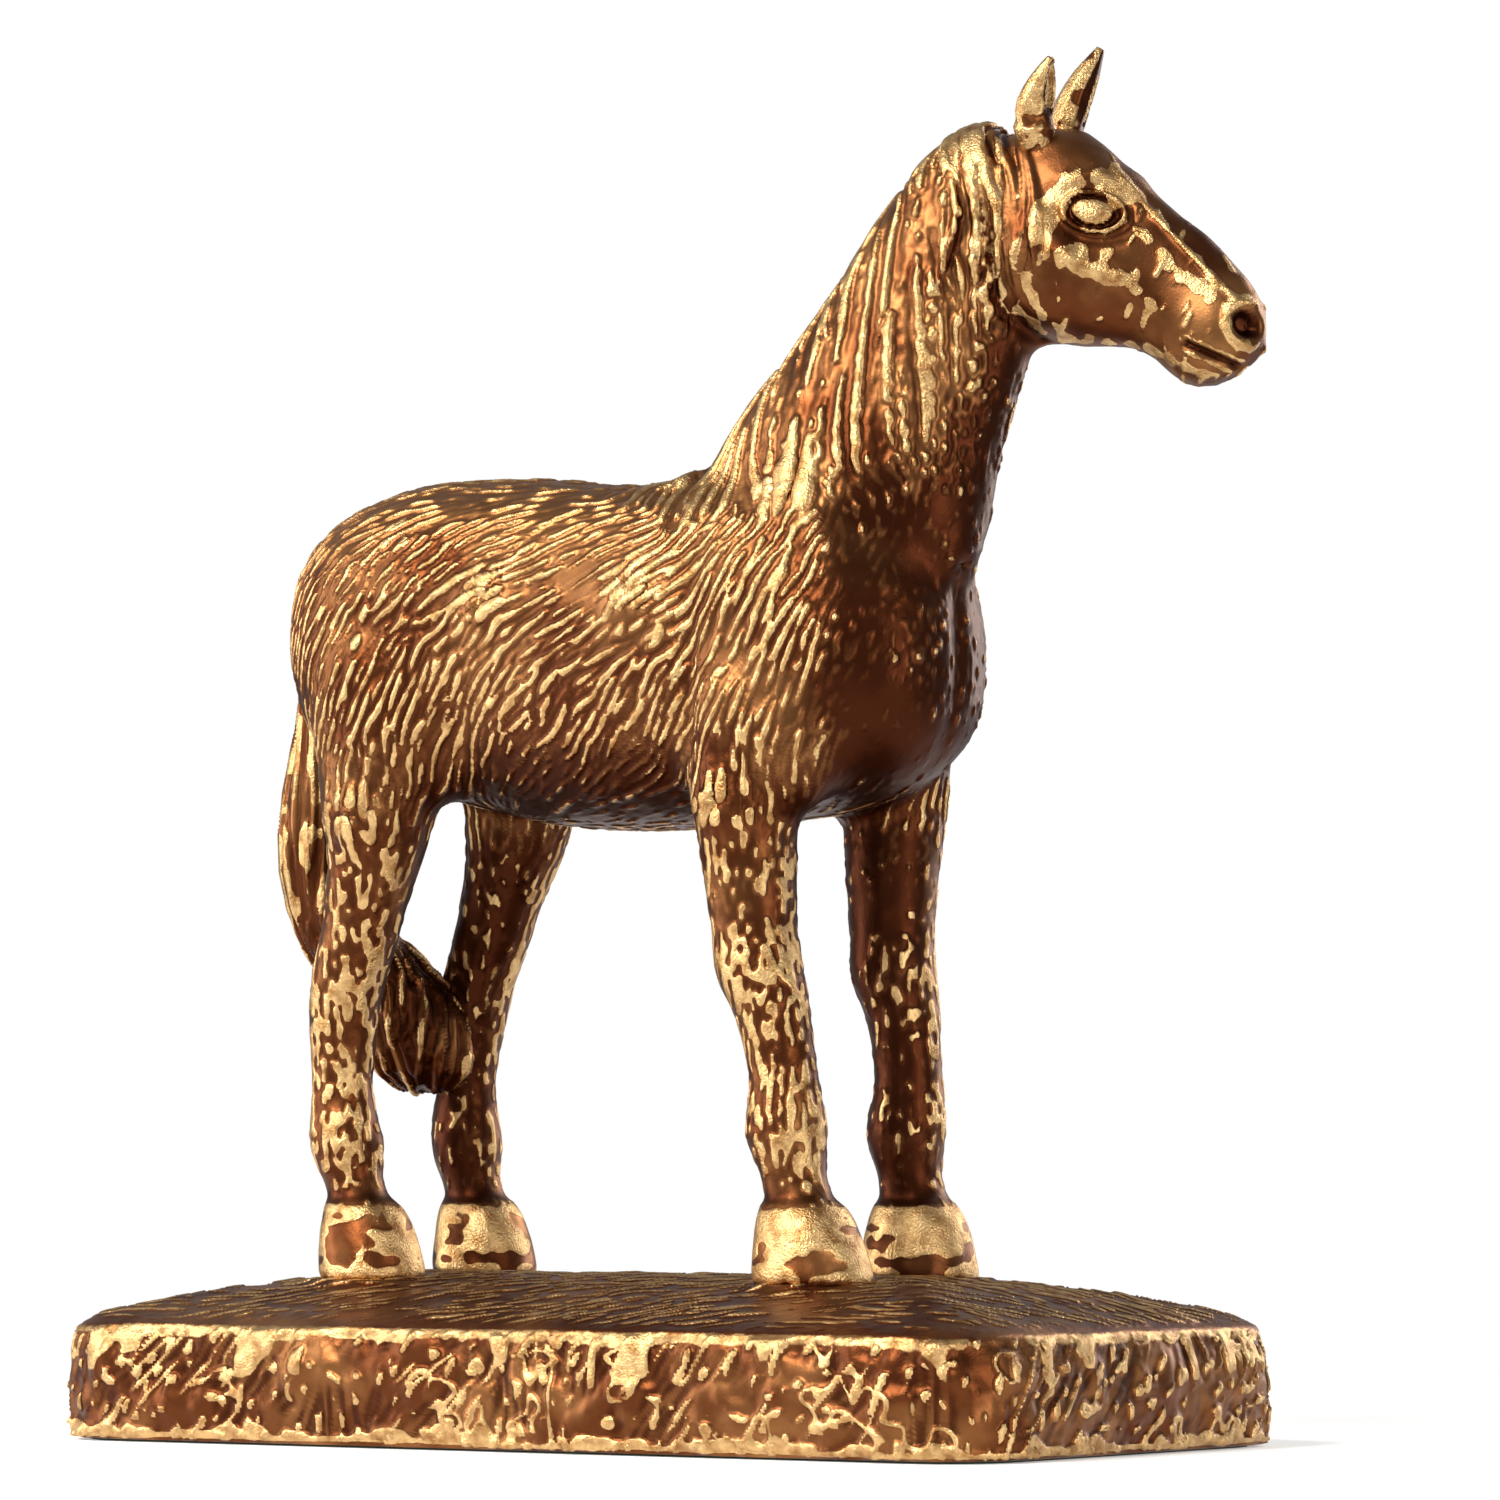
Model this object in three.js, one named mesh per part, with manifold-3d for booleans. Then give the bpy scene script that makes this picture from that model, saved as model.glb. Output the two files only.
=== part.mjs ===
// Bronze horse statuette on a rough-hewn bronze base.
// The horse is a hollow casting made in sections, which are fitted with pinned spigot joints and chased over.
// It is held to a hollow base by a stud in each hoof, and a plate and a felt pad close the base from below.
// Millimetres, +Z up, +X is the way the horse faces, +Y is its left side.
// The origin is the middle of the face that the statuette rests on.
import * as THREE from "three";
import { mergeVertices } from "three/addons/utils/BufferGeometryUtils.js";
import Module from "manifold-3d";

const wasm = await Module();
wasm.setup();

// The horse. Its own rows of numbers, further down, are hundredths of withersHeight.
const withersHeight = 171; // from the ground between its hooves to its withers
const castWall = 4; // of its hollow castings
const hoofReach = 56.5; // from the middle of the base to the hooves, fore and hind
const hoofShift = -7; // of all four hooves, from under the middle of the horse's back
const horseShift = 2; // of the whole horse, from the middle of the base
const trackWidth = 40; // between the middles of the left and right hooves
const jointGap = 0.3; // between sections that are fitted to each other

// The joints between the castings.
const legJoint = 54.2; // height of the joint across each leg, in hundredths
const spigotDiameter = 9;
const spigotDepth = 11;
const spigotRoot = 3; // of a spigot inside its own casting
const endGap = 1; // past the end of a spigot or peg in its socket
const socketWall = 3.2; // of the solid metal round each socket
const collarDepth = 9; // of the neck's sleeve into the trunk
const collarWall = 2.6;
const tailTenonDiameter = 5.2;
const tailTenonDepth = 8;
const tenonRoot = 6; // of the tenon inside the tail
const tailPinInset = 3.5; // of its pin from the tenon's end
const earPegDiameter = 3;
const earPegDepth = 4;
const pinSpareLength = 2; // of a leg's pin beyond its spigot
const pinDiameter = 3;
const plugDiameter = 4.5; // of the plugs where the core's pins stood
const pinSink = 0.5; // from the end of a pin or plug to the skin over it

// The base.
const baseLength = 240;
const baseWidth = 128;
const baseCorner = 20; // plan radius
const baseEdge = 25.6; // height of its sides
const baseCrown = 7.9; // from the top of its sides up to the hooves
const baseWall = 5;
const crownOver = 1.2; // how far its top's middle stands over the hooves' seats
const hoofMargin = 1.2; // of the flat seat round each hoof
const shelf = 1.5; // of more metal under its crown than in its walls

// What closes the base.
const feltThickness = 1.6;
const feltProud = 0.5; // from the felt's face up to the base's rim
const plateThickness = 1.5;
const plateGap = 0.5; // round the plate, inside the rim
const layerGap = 0.3; // between felt, plate and posts
const coverScrewDiameter = 3;
const coverScrewHead = 5.6;
const coverScrewCone = 1.2; // height of its sunk head
const coverScrewLength = 10;
const coverPostDiameter = 8;
const coverScrewRows = [-1, 0, 1];
const cornerPostInset = 17.6; // of the four outer posts from the ends
const sidePostInset = 4.8; // of the two middle posts from the sides
const slotWidth = 0.8;
const slotDepth = 0.6;

// What holds the hooves.
const studDiameter = 4;
const studInHoof = 12;
const studTail = 1.5; // of stud below its nut
const studClearance = 0.6; // round a stud in the base
const screwClearance = 0.3; // round a stud in its hoof or nut, and round a cover screw
const bossDiameter = 13;
const bossDepth = 4;
const washerDiameter = 9;
const washerThickness = 1;
const nutAcrossFlats = 7;
const nutHeight = 3.2;

const pct = withersHeight / 100;
const rimHeight = feltProud;
const seatHeight = rimHeight + baseEdge + baseCrown;
const onGround = (x, y, z) => new THREE.Vector3(horseShift + x * pct, y * pct, seatHeight + z * pct);
const over = 1; // how far a cutting body runs past what it cuts
const leftward = new THREE.Vector3(0, 1, 0);
const upward = new THREE.Vector3(0, 0, 1);
const forward = new THREE.Vector3(1, 0, 0);
const { degToRad } = THREE.MathUtils;

const finish = (color, roughness, metalness) =>
  new THREE.MeshStandardMaterial({ color, roughness, metalness });
const bronze = () => finish(0x9a5f30, 0.42, 0.9);
const pinBronze = () => finish(0xb5823f, 0.4, 1);
const steel = () => finish(0x9b9c9d, 0.35, 1);
const brass = () => finish(0xc7a052, 0.35, 1);
const felt = () => finish(0x2f4a37, 0.95, 0);

// ---- Solids ----

function solidOf(geometry) {
  const bare = geometry.clone();
  bare.deleteAttribute("normal");
  bare.deleteAttribute("uv");
  const merged = mergeVertices(bare, 1e-4);
  return new wasm.Manifold(
    new wasm.Mesh({
      numProp: 3,
      vertProperties: merged.attributes.position.array,
      triVerts: new Uint32Array(merged.index.array),
    }),
  );
}

function geometryOf(solid) {
  const mesh = solid.getMesh();
  const geometry = new THREE.BufferGeometry();
  geometry.setAttribute("position", new THREE.BufferAttribute(mesh.vertProperties, 3));
  geometry.setIndex(new THREE.BufferAttribute(mesh.triVerts, 1));
  geometry.computeVertexNormals();
  return geometry;
}

const joined = (first, ...others) => others.reduce((sum, next) => sum.add(next), first);
const without = (first, ...others) => others.reduce((rest, next) => rest.subtract(next), first);

// All the space on the side of a point that a direction leads to.
function beyond(point, direction) {
  const reach = 2000;
  const geometry = new THREE.BoxGeometry(reach, reach, reach).translate(0, reach / 2, 0);
  const way = direction.clone().normalize();
  geometry.applyQuaternion(new THREE.Quaternion().setFromUnitVectors(leftward, way));
  return solidOf(geometry.translate(point.x, point.y, point.z));
}

// A round bar between two points, or a cone where its second end has another radius.
function bar(from, to, radius, sides = 12, endRadius = radius) {
  const line = to.clone().sub(from);
  const geometry = new THREE.CylinderGeometry(endRadius, radius, line.length(), sides);
  geometry.applyQuaternion(new THREE.Quaternion().setFromUnitVectors(leftward, line.clone().normalize()));
  const middle = from.clone().add(to).multiplyScalar(0.5);
  return solidOf(geometry.translate(middle.x, middle.y, middle.z));
}

const upright = (x, y, low, high, radius, sides) =>
  bar(new THREE.Vector3(x, y, low), new THREE.Vector3(x, y, high), radius, sides);

// A closed body of rings of points, one ring after the other.
function skin(rings) {
  const sides = rings[0].length;
  const centre = (ring) => ring.reduce((sum, p) => sum.add(p), new THREE.Vector3()).divideScalar(sides);
  const points = [...rings.flat(), centre(rings[0]), centre(rings.at(-1))].flatMap((p) => p.toArray());
  const [first, last] = [rings.length * sides, rings.length * sides + 1];
  const faces = [];
  for (let k = 0; k < sides; k++) {
    const next = (k + 1) % sides;
    faces.push(first, next, k);
    faces.push(last, (rings.length - 1) * sides + k, (rings.length - 1) * sides + next);
    for (let i = 0; i < rings.length - 1; i++) {
      const [a, b] = [i * sides, (i + 1) * sides];
      faces.push(a + k, a + next, b + k, a + next, b + next, b + k);
    }
  }
  const geometry = new THREE.BufferGeometry();
  geometry.setAttribute("position", new THREE.BufferAttribute(new Float32Array(points), 3));
  geometry.setIndex(faces);
  const solid = solidOf(geometry);
  return solid.volume() < 0 ? solidOf(geometry.setIndex(faces.reverse())) : solid;
}

// A smooth value along a list of numbers, from its first at 0 to its last at 1.
function along(values, t) {
  const place = t * (values.length - 1);
  const i = Math.min(Math.floor(place), values.length - 2);
  const s = place - i;
  const at = (k) => values[Math.min(Math.max(k, 0), values.length - 1)];
  const [a, b, c, d] = [at(i - 1), at(i), at(i + 1), at(i + 2)];
  return b + 0.5 * s * (c - a + s * (2 * a - 5 * b + 4 * c - d + s * (3 * (b - c) + d - a)));
}

// One smooth function of 0 to 1 for each column of a table.
const columns = (rows) => rows[0].map((_, column) => (t) => along(rows.map((row) => row[column]), t));

const rounded = (value, squareness) => Math.sign(value) * Math.abs(value) ** (2 / squareness);

// A body along a path. ringAt gives each ring's middle, two directions, and its reach
// to the side, up and down.
// Reaches are in millimetres, and inset takes its wall off them.
function loft(ringAt, { rings, sides, inset = 0, squareness = 2 }) {
  const least = 0.4;
  const stack = [];
  for (let i = 0; i < rings; i++) {
    const { middle, across, over, side, up, down } = ringAt(i / (rings - 1));
    const ring = [];
    for (let k = 0; k < sides; k++) {
      const angle = (2 * Math.PI * (k + 0.5)) / sides;
      const aside = rounded(Math.cos(angle), squareness) * Math.max(side - inset, least);
      const tall = Math.sin(angle) > 0 ? up : down;
      const high = rounded(Math.sin(angle), squareness) * Math.max(tall - inset, least);
      ring.push(middle.clone().addScaledVector(across, aside).addScaledVector(over, high));
    }
    stack.push(ring);
  }
  return skin(stack);
}

// ---- The horse's form ----
// Each form takes an inset: a wall to take off it, or with a minus sign a gap to put round it.

// The trunk: x, height of its top, height of its underside, half width.
const trunkRows = [
  [-52.4, 83.0, 78.0, 2.5],
  [-50.4, 92.6, 69.5, 11.2],
  [-45.2, 96.8, 64.0, 15.4],
  [-36.0, 99.8, 61.0, 17.4],
  [-26.0, 100.2, 58.6, 17.6],
  [-14.5, 99.6, 56.4, 17.6],
  [-3.0, 98.2, 55.6, 18.0],
  [9.0, 98.8, 55.8, 18.0],
  [18.5, 100.5, 56.2, 17.2],
  [28.0, 98.0, 57.5, 15.6],
  [35.5, 92.5, 60.0, 13.2],
  [40.2, 87.6, 64.5, 9.6],
  [42.4, 80.0, 71.0, 2.5],
];

function trunk(inset = 0) {
  const [x, top, underside, half] = columns(trunkRows);
  const ringAt = (t) => {
    const deep = ((top(t) - underside(t)) / 2) * pct;
    const middle = onGround(x(t), 0, (top(t) + underside(t)) / 2);
    middle.addScaledVector(forward, inset * (1 - 2 * t));
    return { middle, across: leftward, over: upward, side: half(t) * pct, up: deep, down: deep };
  };
  const fine = inset <= 0;
  return loft(ringAt, { rings: fine ? 21 : 12, sides: fine ? 18 : 12, inset, squareness: 2.3 });
}

// Rings square to a path, from rows that start with x, y and height.
function pathRing(rows) {
  const [x, y, z, side, up, down] = columns(rows);
  const at = (t) => onGround(x(t), y(t), z(t));
  return (t) => {
    const step = 0.02;
    const way = at(Math.min(t + step, 1)).sub(at(Math.max(t - step, 0))).normalize();
    const across = upward.clone().cross(way).normalize();
    const over = way.clone().cross(across);
    return { middle: at(t), across, over, side: side(t) * pct, up: up(t) * pct, down: down(t) * pct };
  };
}

// The neck: x, y, height, half width, reach to its crest, reach to its throat.
const neckRows = [
  [12.0, 0.0, 72.0, 10.0, 20.0, 17.5],
  [24.8, 0.0, 94.0, 12.2, 17.0, 20.0],
  [32.6, 1.0, 108.5, 9.4, 13.2, 15.4],
  [38.6, 2.6, 121.0, 7.6, 10.8, 13.3],
  [43.8, 4.6, 130.6, 6.8, 9.4, 11.4],
  [48.5, 6.2, 135.0, 5.4, 6.6, 7.6],
];

function neck(inset = 0) {
  return loft(pathRing(neckRows), { rings: inset > 0 ? 8 : 12, sides: inset > 0 ? 12 : 16, inset });
}

// The head: reach forward from the cheek, height, half width, reach to the face, reach to the jaw.
const headYaw = 10; // degrees to the horse's left
const cheek = [50.3, 7.0, 126.0];
const headRows = [
  [-8.5, 4.8, 4.0, 8.0, 5.0],
  [-5.0, 2.8, 6.4, 12.0, 10.5],
  [0.0, 0.0, 7.6, 15.4, 13.4],
  [7.4, -3.5, 7.2, 13.4, 10.2],
  [13.6, -6.0, 5.3, 10.0, 8.2],
  [18.2, -8.7, 4.5, 7.8, 7.4],
  [22.0, -11.6, 4.8, 6.6, 7.8],
  [24.6, -13.6, 4.1, 5.2, 6.6],
  [26.6, -15.1, 2.3, 2.8, 2.8],
];

// A place on the head, from reach, height and distance to its left.
function onHead(reach, height, aside = 0) {
  const yaw = degToRad(headYaw);
  const [x, y, z] = cheek;
  return [
    x + reach * Math.cos(yaw) - aside * Math.sin(yaw),
    y + reach * Math.sin(yaw) + aside * Math.cos(yaw),
    z + height,
  ];
}

function head(inset = 0) {
  const rows = headRows.map(([reach, height, ...rest]) => [...onHead(reach, height), ...rest]);
  const ringAt = pathRing(inset > 0 ? rows.slice(1, -2) : rows);
  return loft(ringAt, { rings: inset > 0 ? 7 : 15, sides: inset > 0 ? 10 : 16, inset });
}

// An ear: reach, height and distance aside from its root, half width, half depth.
const earRows = [
  [0.0, -1.5, 0.0, 1.6, 1.4],
  [0.1, 1.2, 0.1, 2.3, 1.8],
  [0.5, 4.0, 0.5, 2.3, 1.7],
  [1.2, 6.8, 0.9, 1.5, 1.2],
  [1.9, 9.3, 1.3, 0.4, 0.4],
];
const earRoot = [0.4, 13.2, 5.0];
const earLength = (side) => (side < 0 ? 0.84 : 1.14); // the right ear is laid back a little
const earLean = (side) => (side < 0 ? 0.12 : 0.27); // reach forward for each step up
const earBreadth = (side) => (side < 0 ? 1.05 : 1.2);

function ear(side) {
  const [reach, height, aside] = earRoot;
  const [long, lean, broad] = [earLength(side), earLean(side), earBreadth(side)];
  const rows = earRows.map(([x, z, y, half, deep]) => [
    ...onHead(reach + x + z * lean, height + z * long, side * (aside + y)),
    half * broad,
    deep * broad,
    deep * broad,
  ]);
  return loft(pathRing(rows), { rings: 8, sides: 10 });
}

// The hollow in front of an ear.
function earHollow(side) {
  const [reach, height, aside] = earRoot;
  const shape = onHead(reach + 2.2 + 4.2 * earLean(side), height + 4.2, side * (aside + 0.7));
  const geometry = new THREE.SphereGeometry(1, 8, 6).rotateX(Math.PI / 2);
  geometry.scale(1.3 * pct, 1.1 * pct, 3.6 * pct);
  geometry.rotateY(degToRad(10)).rotateX(degToRad(-side * 8)).rotateZ(degToRad(headYaw));
  return solidOf(geometry.translate(...onGround(...shape).toArray()));
}

// Muscle: x, y to either side, height, and three half lengths.
const haunch = [-37.5, 9.0, 79.0, 13.0, 8.8, 17.0];
const stifle = [-29.5, 10.0, 69.5, 9.0, 6.6, 11.0];
const shoulder = [26.0, 9.0, 78.0, 11.5, 7.8, 20.0];
const upperArm = [24.5, 11.0, 66.5, 8.2, 6.2, 11.0];
const breast = [34.0, 5.5, 73.5, 7.4, 7.2, 11.5];

function muscle([x, y, z, ...half], side, inset = 0) {
  const geometry = new THREE.SphereGeometry(1, 12, 8).rotateX(Math.PI / 2);
  geometry.scale(...half.map((reach) => reach * pct - inset));
  return solidOf(geometry.translate(...onGround(x, side * y, z).toArray()));
}

// A foreleg: height, x from the hoof's middle, reach forward, reach back, half width.
const foreLegRows = [
  [73.0, -10.0, 7.0, 7.0, 6.5],
  [61.0, -10.0, 6.7, 6.7, 6.4],
  [54.0, -9.4, 5.9, 5.9, 5.8],
  [46.8, -8.8, 5.3, 5.3, 5.2],
  [41.5, -8.2, 4.9, 4.9, 4.8],
  [37.3, -7.6, 5.1, 5.2, 5.1],
  [32.7, -5.8, 4.4, 4.4, 4.3],
  [28.0, -4.7, 4.0, 4.0, 3.9],
  [23.1, -3.9, 4.0, 4.0, 4.0],
  [18.7, -3.8, 4.7, 4.9, 4.6],
  [15.2, -3.2, 4.1, 4.3, 4.2],
  [12.3, -2.5, 3.6, 3.6, 3.6],
  [10.5, -2.0, 4.3, 4.0, 4.0],
  [8.8, -1.7, 5.6, 4.9, 5.0],
  [5.8, -0.9, 6.5, 6.0, 6.2],
  [0.0, 0.0, 7.3, 7.1, 7.1],
];
// A hind leg, in the same way.
const hindLegRows = [
  [79.0, 1.2, 8.2, 8.2, 7.4],
  [67.0, 1.2, 8.2, 8.2, 7.4],
  [57.7, 0.6, 7.4, 6.6, 6.4],
  [52.6, 0.2, 6.2, 5.4, 5.5],
  [47.8, -1.2, 5.5, 4.8, 4.9],
  [43.0, -2.2, 5.0, 4.6, 4.5],
  [36.7, -3.9, 4.3, 4.6, 4.4],
  [30.5, -4.6, 3.9, 4.0, 3.9],
  [23.1, -4.7, 3.4, 3.4, 3.4],
  [18.1, -4.1, 4.3, 4.6, 4.3],
  [14.6, -3.6, 3.9, 4.1, 4.0],
  [12.0, -2.9, 3.4, 3.4, 3.4],
  [10.5, -2.3, 4.0, 3.6, 3.7],
  [8.8, -1.8, 5.1, 4.4, 4.6],
  [5.8, -0.9, 6.0, 5.6, 5.7],
  [0.0, 0.0, 6.6, 6.2, 6.4],
];

const [hoofFore, hoofHind] = [hoofReach + hoofShift, -hoofReach + hoofShift];
const overHoof = ({ x, side }) => [horseShift + x, (side * trackWidth) / 2];
const legs = [
  { name: "right_foreleg", rows: foreLegRows, x: hoofFore, side: -1, lean: 0, muscles: [upperArm] },
  { name: "left_foreleg", rows: foreLegRows, x: hoofFore, side: 1, lean: 7.7, muscles: [upperArm] },
  { name: "right_hind_leg", rows: hindLegRows, x: hoofHind, side: -1, lean: 0, muscles: [stifle] },
  { name: "left_hind_leg", rows: hindLegRows, x: hoofHind, side: 1, lean: 6, muscles: [stifle] },
];

// How far a leg stands forward at a height, from its hoof: its own shape, and its lean.
function legShift({ rows, lean }, height) {
  const heights = rows.map((row) => row[0]);
  const upper = heights.findLastIndex((h) => h >= height);
  const [above, below] = [rows[upper], rows[Math.min(upper + 1, rows.length - 1)]];
  const share = above[0] === below[0] ? 0 : (above[0] - height) / (above[0] - below[0]);
  return above[1] + (below[1] - above[1]) * share + (lean * height) / heights[0];
}

function leg({ rows, x, side: hand, lean }, inset = 0) {
  const [height, shift, fore, aft, half] = columns(rows);
  const ringAt = (t) => {
    const stand = x / pct + shift(t) + (lean * height(t)) / rows[0][0];
    const middle = onGround(stand, (hand * trackWidth) / 2 / pct, height(t));
    const [side, up, down] = [half(t) * pct, fore(t) * pct, aft(t) * pct];
    return { middle, across: leftward, over: forward, side, up, down };
  };
  return loft(ringAt, { rings: 24, sides: 12, inset, squareness: 2.2 });
}

// The tail: x, y, height, half width, reach forward, reach back.
const tailRows = [
  [-44.0, 0.0, 86.0, 2.6, 2.6, 2.6],
  [-51.0, 0.0, 82.5, 4.2, 4.2, 4.2],
  [-52.6, 0.0, 71.5, 4.6, 4.6, 4.4],
  [-54.0, -0.4, 60.5, 5.2, 5.2, 5.0],
  [-54.2, 0.2, 51.0, 5.7, 5.6, 5.2],
  [-52.4, 2.2, 43.5, 6.2, 6.4, 5.6],
  [-48.6, 4.6, 37.6, 7.0, 8.6, 6.2],
  [-45.6, 6.8, 31.4, 7.2, 8.8, 6.4],
  [-43.8, 8.6, 25.6, 5.6, 6.8, 5.2],
  [-43.2, 9.4, 23.8, 2.6, 3.0, 2.6],
];

function tailForm() {
  const [x, y, z, half, fore, aft] = columns(tailRows);
  const ringAt = (t) => {
    const middle = onGround(x(t), y(t), z(t));
    const [side, up, down] = [half(t) * pct, fore(t) * pct, aft(t) * pct];
    return { middle, across: leftward, over: forward, side, up, down };
  };
  return loft(ringAt, { rings: 17, sides: 10 });
}

const group = new THREE.Group();

function place(name, solid, material) {
  const mesh = new THREE.Mesh(geometryOf(solid), material);
  mesh.name = name;
  group.add(mesh);
}

// ---- The castings ----

const sides = [-1, 1];
const bothSides = (part) => sides.map(part);
const body = (inset) =>
  joined(
    trunk(inset),
    ...bothSides((side) => muscle(haunch, side, inset)),
    ...bothSides((side) => muscle(shoulder, side, inset)),
    ...bothSides((side) => muscle(breast, side, inset)),
  );
const limb = (one, inset) =>
  joined(leg(one, inset), ...one.muscles.map((shape) => muscle(shape, one.side, inset)));

const neckJointShare = 0.27; // of the way from the neck's second row to its third
const [neckX, neckY, neckZ] = neckRows[1];
const neckLine = onGround(...neckRows[2]).sub(onGround(neckX, neckY, neckZ));
const neckWay = neckLine.clone().normalize();
const neckJoint = onGround(neckX, neckY, neckZ).addScaledVector(neckLine, neckJointShare);
const neckAt = (distance) => neckJoint.clone().addScaledVector(neckWay, distance);
const aboveNeck = (distance) => beyond(neckAt(distance), neckWay);
const belowNeck = (distance) => beyond(neckAt(distance), neckWay.clone().negate());
const legTop = seatHeight + legJoint * pct;
const aboveLegs = beyond(new THREE.Vector3(0, 0, legTop), upward);
const belowLegs = beyond(new THREE.Vector3(0, 0, legTop - jointGap), upward.clone().negate());

const wholeBody = joined(body(0), neck(), ...legs.map((one) => limb(one, 0)));
const bodySkin = wholeBody.intersect(aboveLegs);

const bossHeight = spigotDepth + endGap + socketWall;
// Each leg has a round spigot, which a pin holds in its socket.
const spigots = legs.map((one) => {
  const [hoofX, y] = overHoof(one);
  const x = hoofX + legShift(one, legJoint) * pct;
  const pinHeight = legTop + spigotDepth / 2;
  const ends = [y + one.side * trackWidth, y - one.side * (spigotDiameter / 2 + pinSpareLength)];
  const pin = (radius) => bar(...ends.map((end) => new THREE.Vector3(x, end, pinHeight)), radius);
  return {
    one,
    spigot: upright(x, y, legTop - spigotRoot, legTop + spigotDepth, spigotDiameter / 2, 16),
    socket: upright(x, y, legTop - over, legTop + spigotDepth + endGap, spigotDiameter / 2 + jointGap, 16),
    boss: upright(x, y, legTop, legTop + bossHeight, spigotDiameter / 2 + socketWall, 16),
    pin,
  };
});

// The neck slides into the trunk on a sleeve, which three pins hold.
const collarOuter = castWall + jointGap;
const collarInner = collarOuter + collarWall;
const collar = joined(
  without(neck(collarOuter), neck(collarInner)).intersect(belowNeck(2)).intersect(aboveNeck(-collarDepth)),
  without(neck(castWall - 0.5), neck(collarInner)).intersect(aboveNeck(jointGap)).intersect(belowNeck(4)),
);
const neckPinStart = 9; // from the neck's middle line to a pin's inner end
const pinReach = 60; // past any skin, where it is cut off
const neckPinLine = neckAt(-collarDepth / 2);
const throatward = leftward.clone().cross(neckWay).normalize();
const neckPins = [
  { name: "neck_pin_left", way: leftward },
  { name: "neck_pin_right", way: leftward.clone().negate() },
  { name: "neck_pin_throat", way: throatward },
].map(({ name, way }) => ({
  name,
  pin: (radius) => {
    const start = neckPinLine.clone().addScaledVector(way, neckPinStart);
    return bar(start, start.clone().addScaledVector(way, pinReach), radius);
  },
}));

// The tail's tenon enters the trunk level, and its pin comes from above.
const tailRoot = onGround(-50, 0, 84);
const tenonEnd = tailRoot.clone().addScaledVector(forward, tailTenonDepth);
const tenonStart = tailRoot.clone().addScaledVector(forward, -tenonRoot);
const tenonBack = tailRoot.clone().addScaledVector(forward, -pinReach);
const tailPin = (radius) => {
  const middle = tailRoot.clone().addScaledVector(forward, tailTenonDepth - tailPinInset);
  return upright(middle.x, 0, middle.z - tailTenonDiameter / 2 - pinSpareLength, middle.z + pinReach, radius);
};

// The plugs stand where the core's pins went through the wall.
const plugHeight = 84; // in hundredths
const plugInside = 1.5; // of a plug past the wall's inner face
const plugPlaces = [
  { name: "core_plug_loin_right", x: -16, side: -1 },
  { name: "core_plug_loin_left", x: -16, side: 1 },
  { name: "core_plug_ribs_right", x: 6, side: -1 },
  { name: "core_plug_ribs_left", x: 6, side: 1 },
];
const plugBar = ({ x, side }, radius) => {
  const half = along(trunkRows.map((row) => row[3]), 0.5) * pct;
  const start = onGround(x, 0, plugHeight).addScaledVector(leftward, side * (half - castWall - plugInside));
  return bar(start, start.clone().addScaledVector(leftward, side * pinReach), radius, 12);
};

const bodyCore = joined(trunk(castWall), neck(castWall).intersect(belowNeck(-1)));
const tailBossEnd = tenonEnd.clone().addScaledVector(forward, socketWall);
const tailBoss = bar(tailRoot, tailBossEnd, tailTenonDiameter / 2 + socketWall);
const bosses = joined(...spigots.map(({ boss }) => boss), tailBoss).intersect(bodySkin);
const neckMouth = neck(castWall).intersect(aboveNeck(-collarDepth - 1)).intersect(belowNeck(5));
const pinHole = pinDiameter / 2 + jointGap;
const tailSocketEnd = tenonEnd.clone().addScaledVector(forward, endGap);
const tailSocket = bar(tenonBack, tailSocketEnd, tailTenonDiameter / 2 + jointGap);
const torso = without(
  joined(bodySkin.subtract(bodyCore), bosses),
  neckMouth,
  aboveNeck(0),
  tailSocket,
  tailPin(pinHole),
  ...spigots.map(({ socket }) => socket),
  ...spigots.map(({ pin }) => pin(pinHole)),
  ...neckPins.map(({ pin }) => pin(pinHole)),
  ...plugPlaces.map((plug) => plugBar(plug, plugDiameter / 2 + jointGap)),
);
place("torso", torso, bronze());

const earPeg = (side, radius, gap) => {
  const [reach, height, aside] = earRoot;
  const root = onGround(...onHead(reach, height, side * aside));
  return bar(root, root.clone().addScaledVector(upward, -earPegDepth - gap), radius + gap);
};
const headCore = joined(neck(castWall), head(castWall)).intersect(aboveNeck(-1));
const headSkin = joined(neck(), head()).intersect(aboveNeck(jointGap));
place(
  "head_and_neck",
  without(
    joined(headSkin.subtract(headCore), collar),
    ...bothSides((side) => ear(side, jointGap)),
    ...bothSides((side) => earPeg(side, earPegDiameter / 2, jointGap)),
    ...neckPins.map(({ pin }) => pin(pinHole)),
  ),
  bronze(),
);
for (const side of sides) {
  const name = side < 0 ? "ear_right" : "ear_left";
  place(name, ear(side).subtract(earHollow(side)).add(earPeg(side, earPegDiameter / 2, 0)), bronze());
}

const tail = joined(
  without(
    tailForm(),
    joined(body(-jointGap), limb(legs[2], -jointGap), limb(legs[3], -jointGap)),
  ),
  bar(tenonStart, tenonEnd, tailTenonDiameter / 2),
);
place("tail", tail.subtract(tailPin(pinHole)), bronze());

// A stud rises from the base into each hoof.
const hoofPlaces = legs.map(overHoof);
const studBore = studDiameter / 2 + screwClearance;
const studHole = ([x, y]) => upright(x, y, 0, seatHeight + studInHoof + endGap, studBore, 12);
spigots.forEach(({ one, spigot, pin }, i) => {
  const casting = limb(one, 0).intersect(belowLegs).intersect(beyond(onGround(0, 0, 0), upward));
  place(one.name, without(casting.add(spigot), pin(pinHole), studHole(hoofPlaces[i])), bronze());
});

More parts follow.
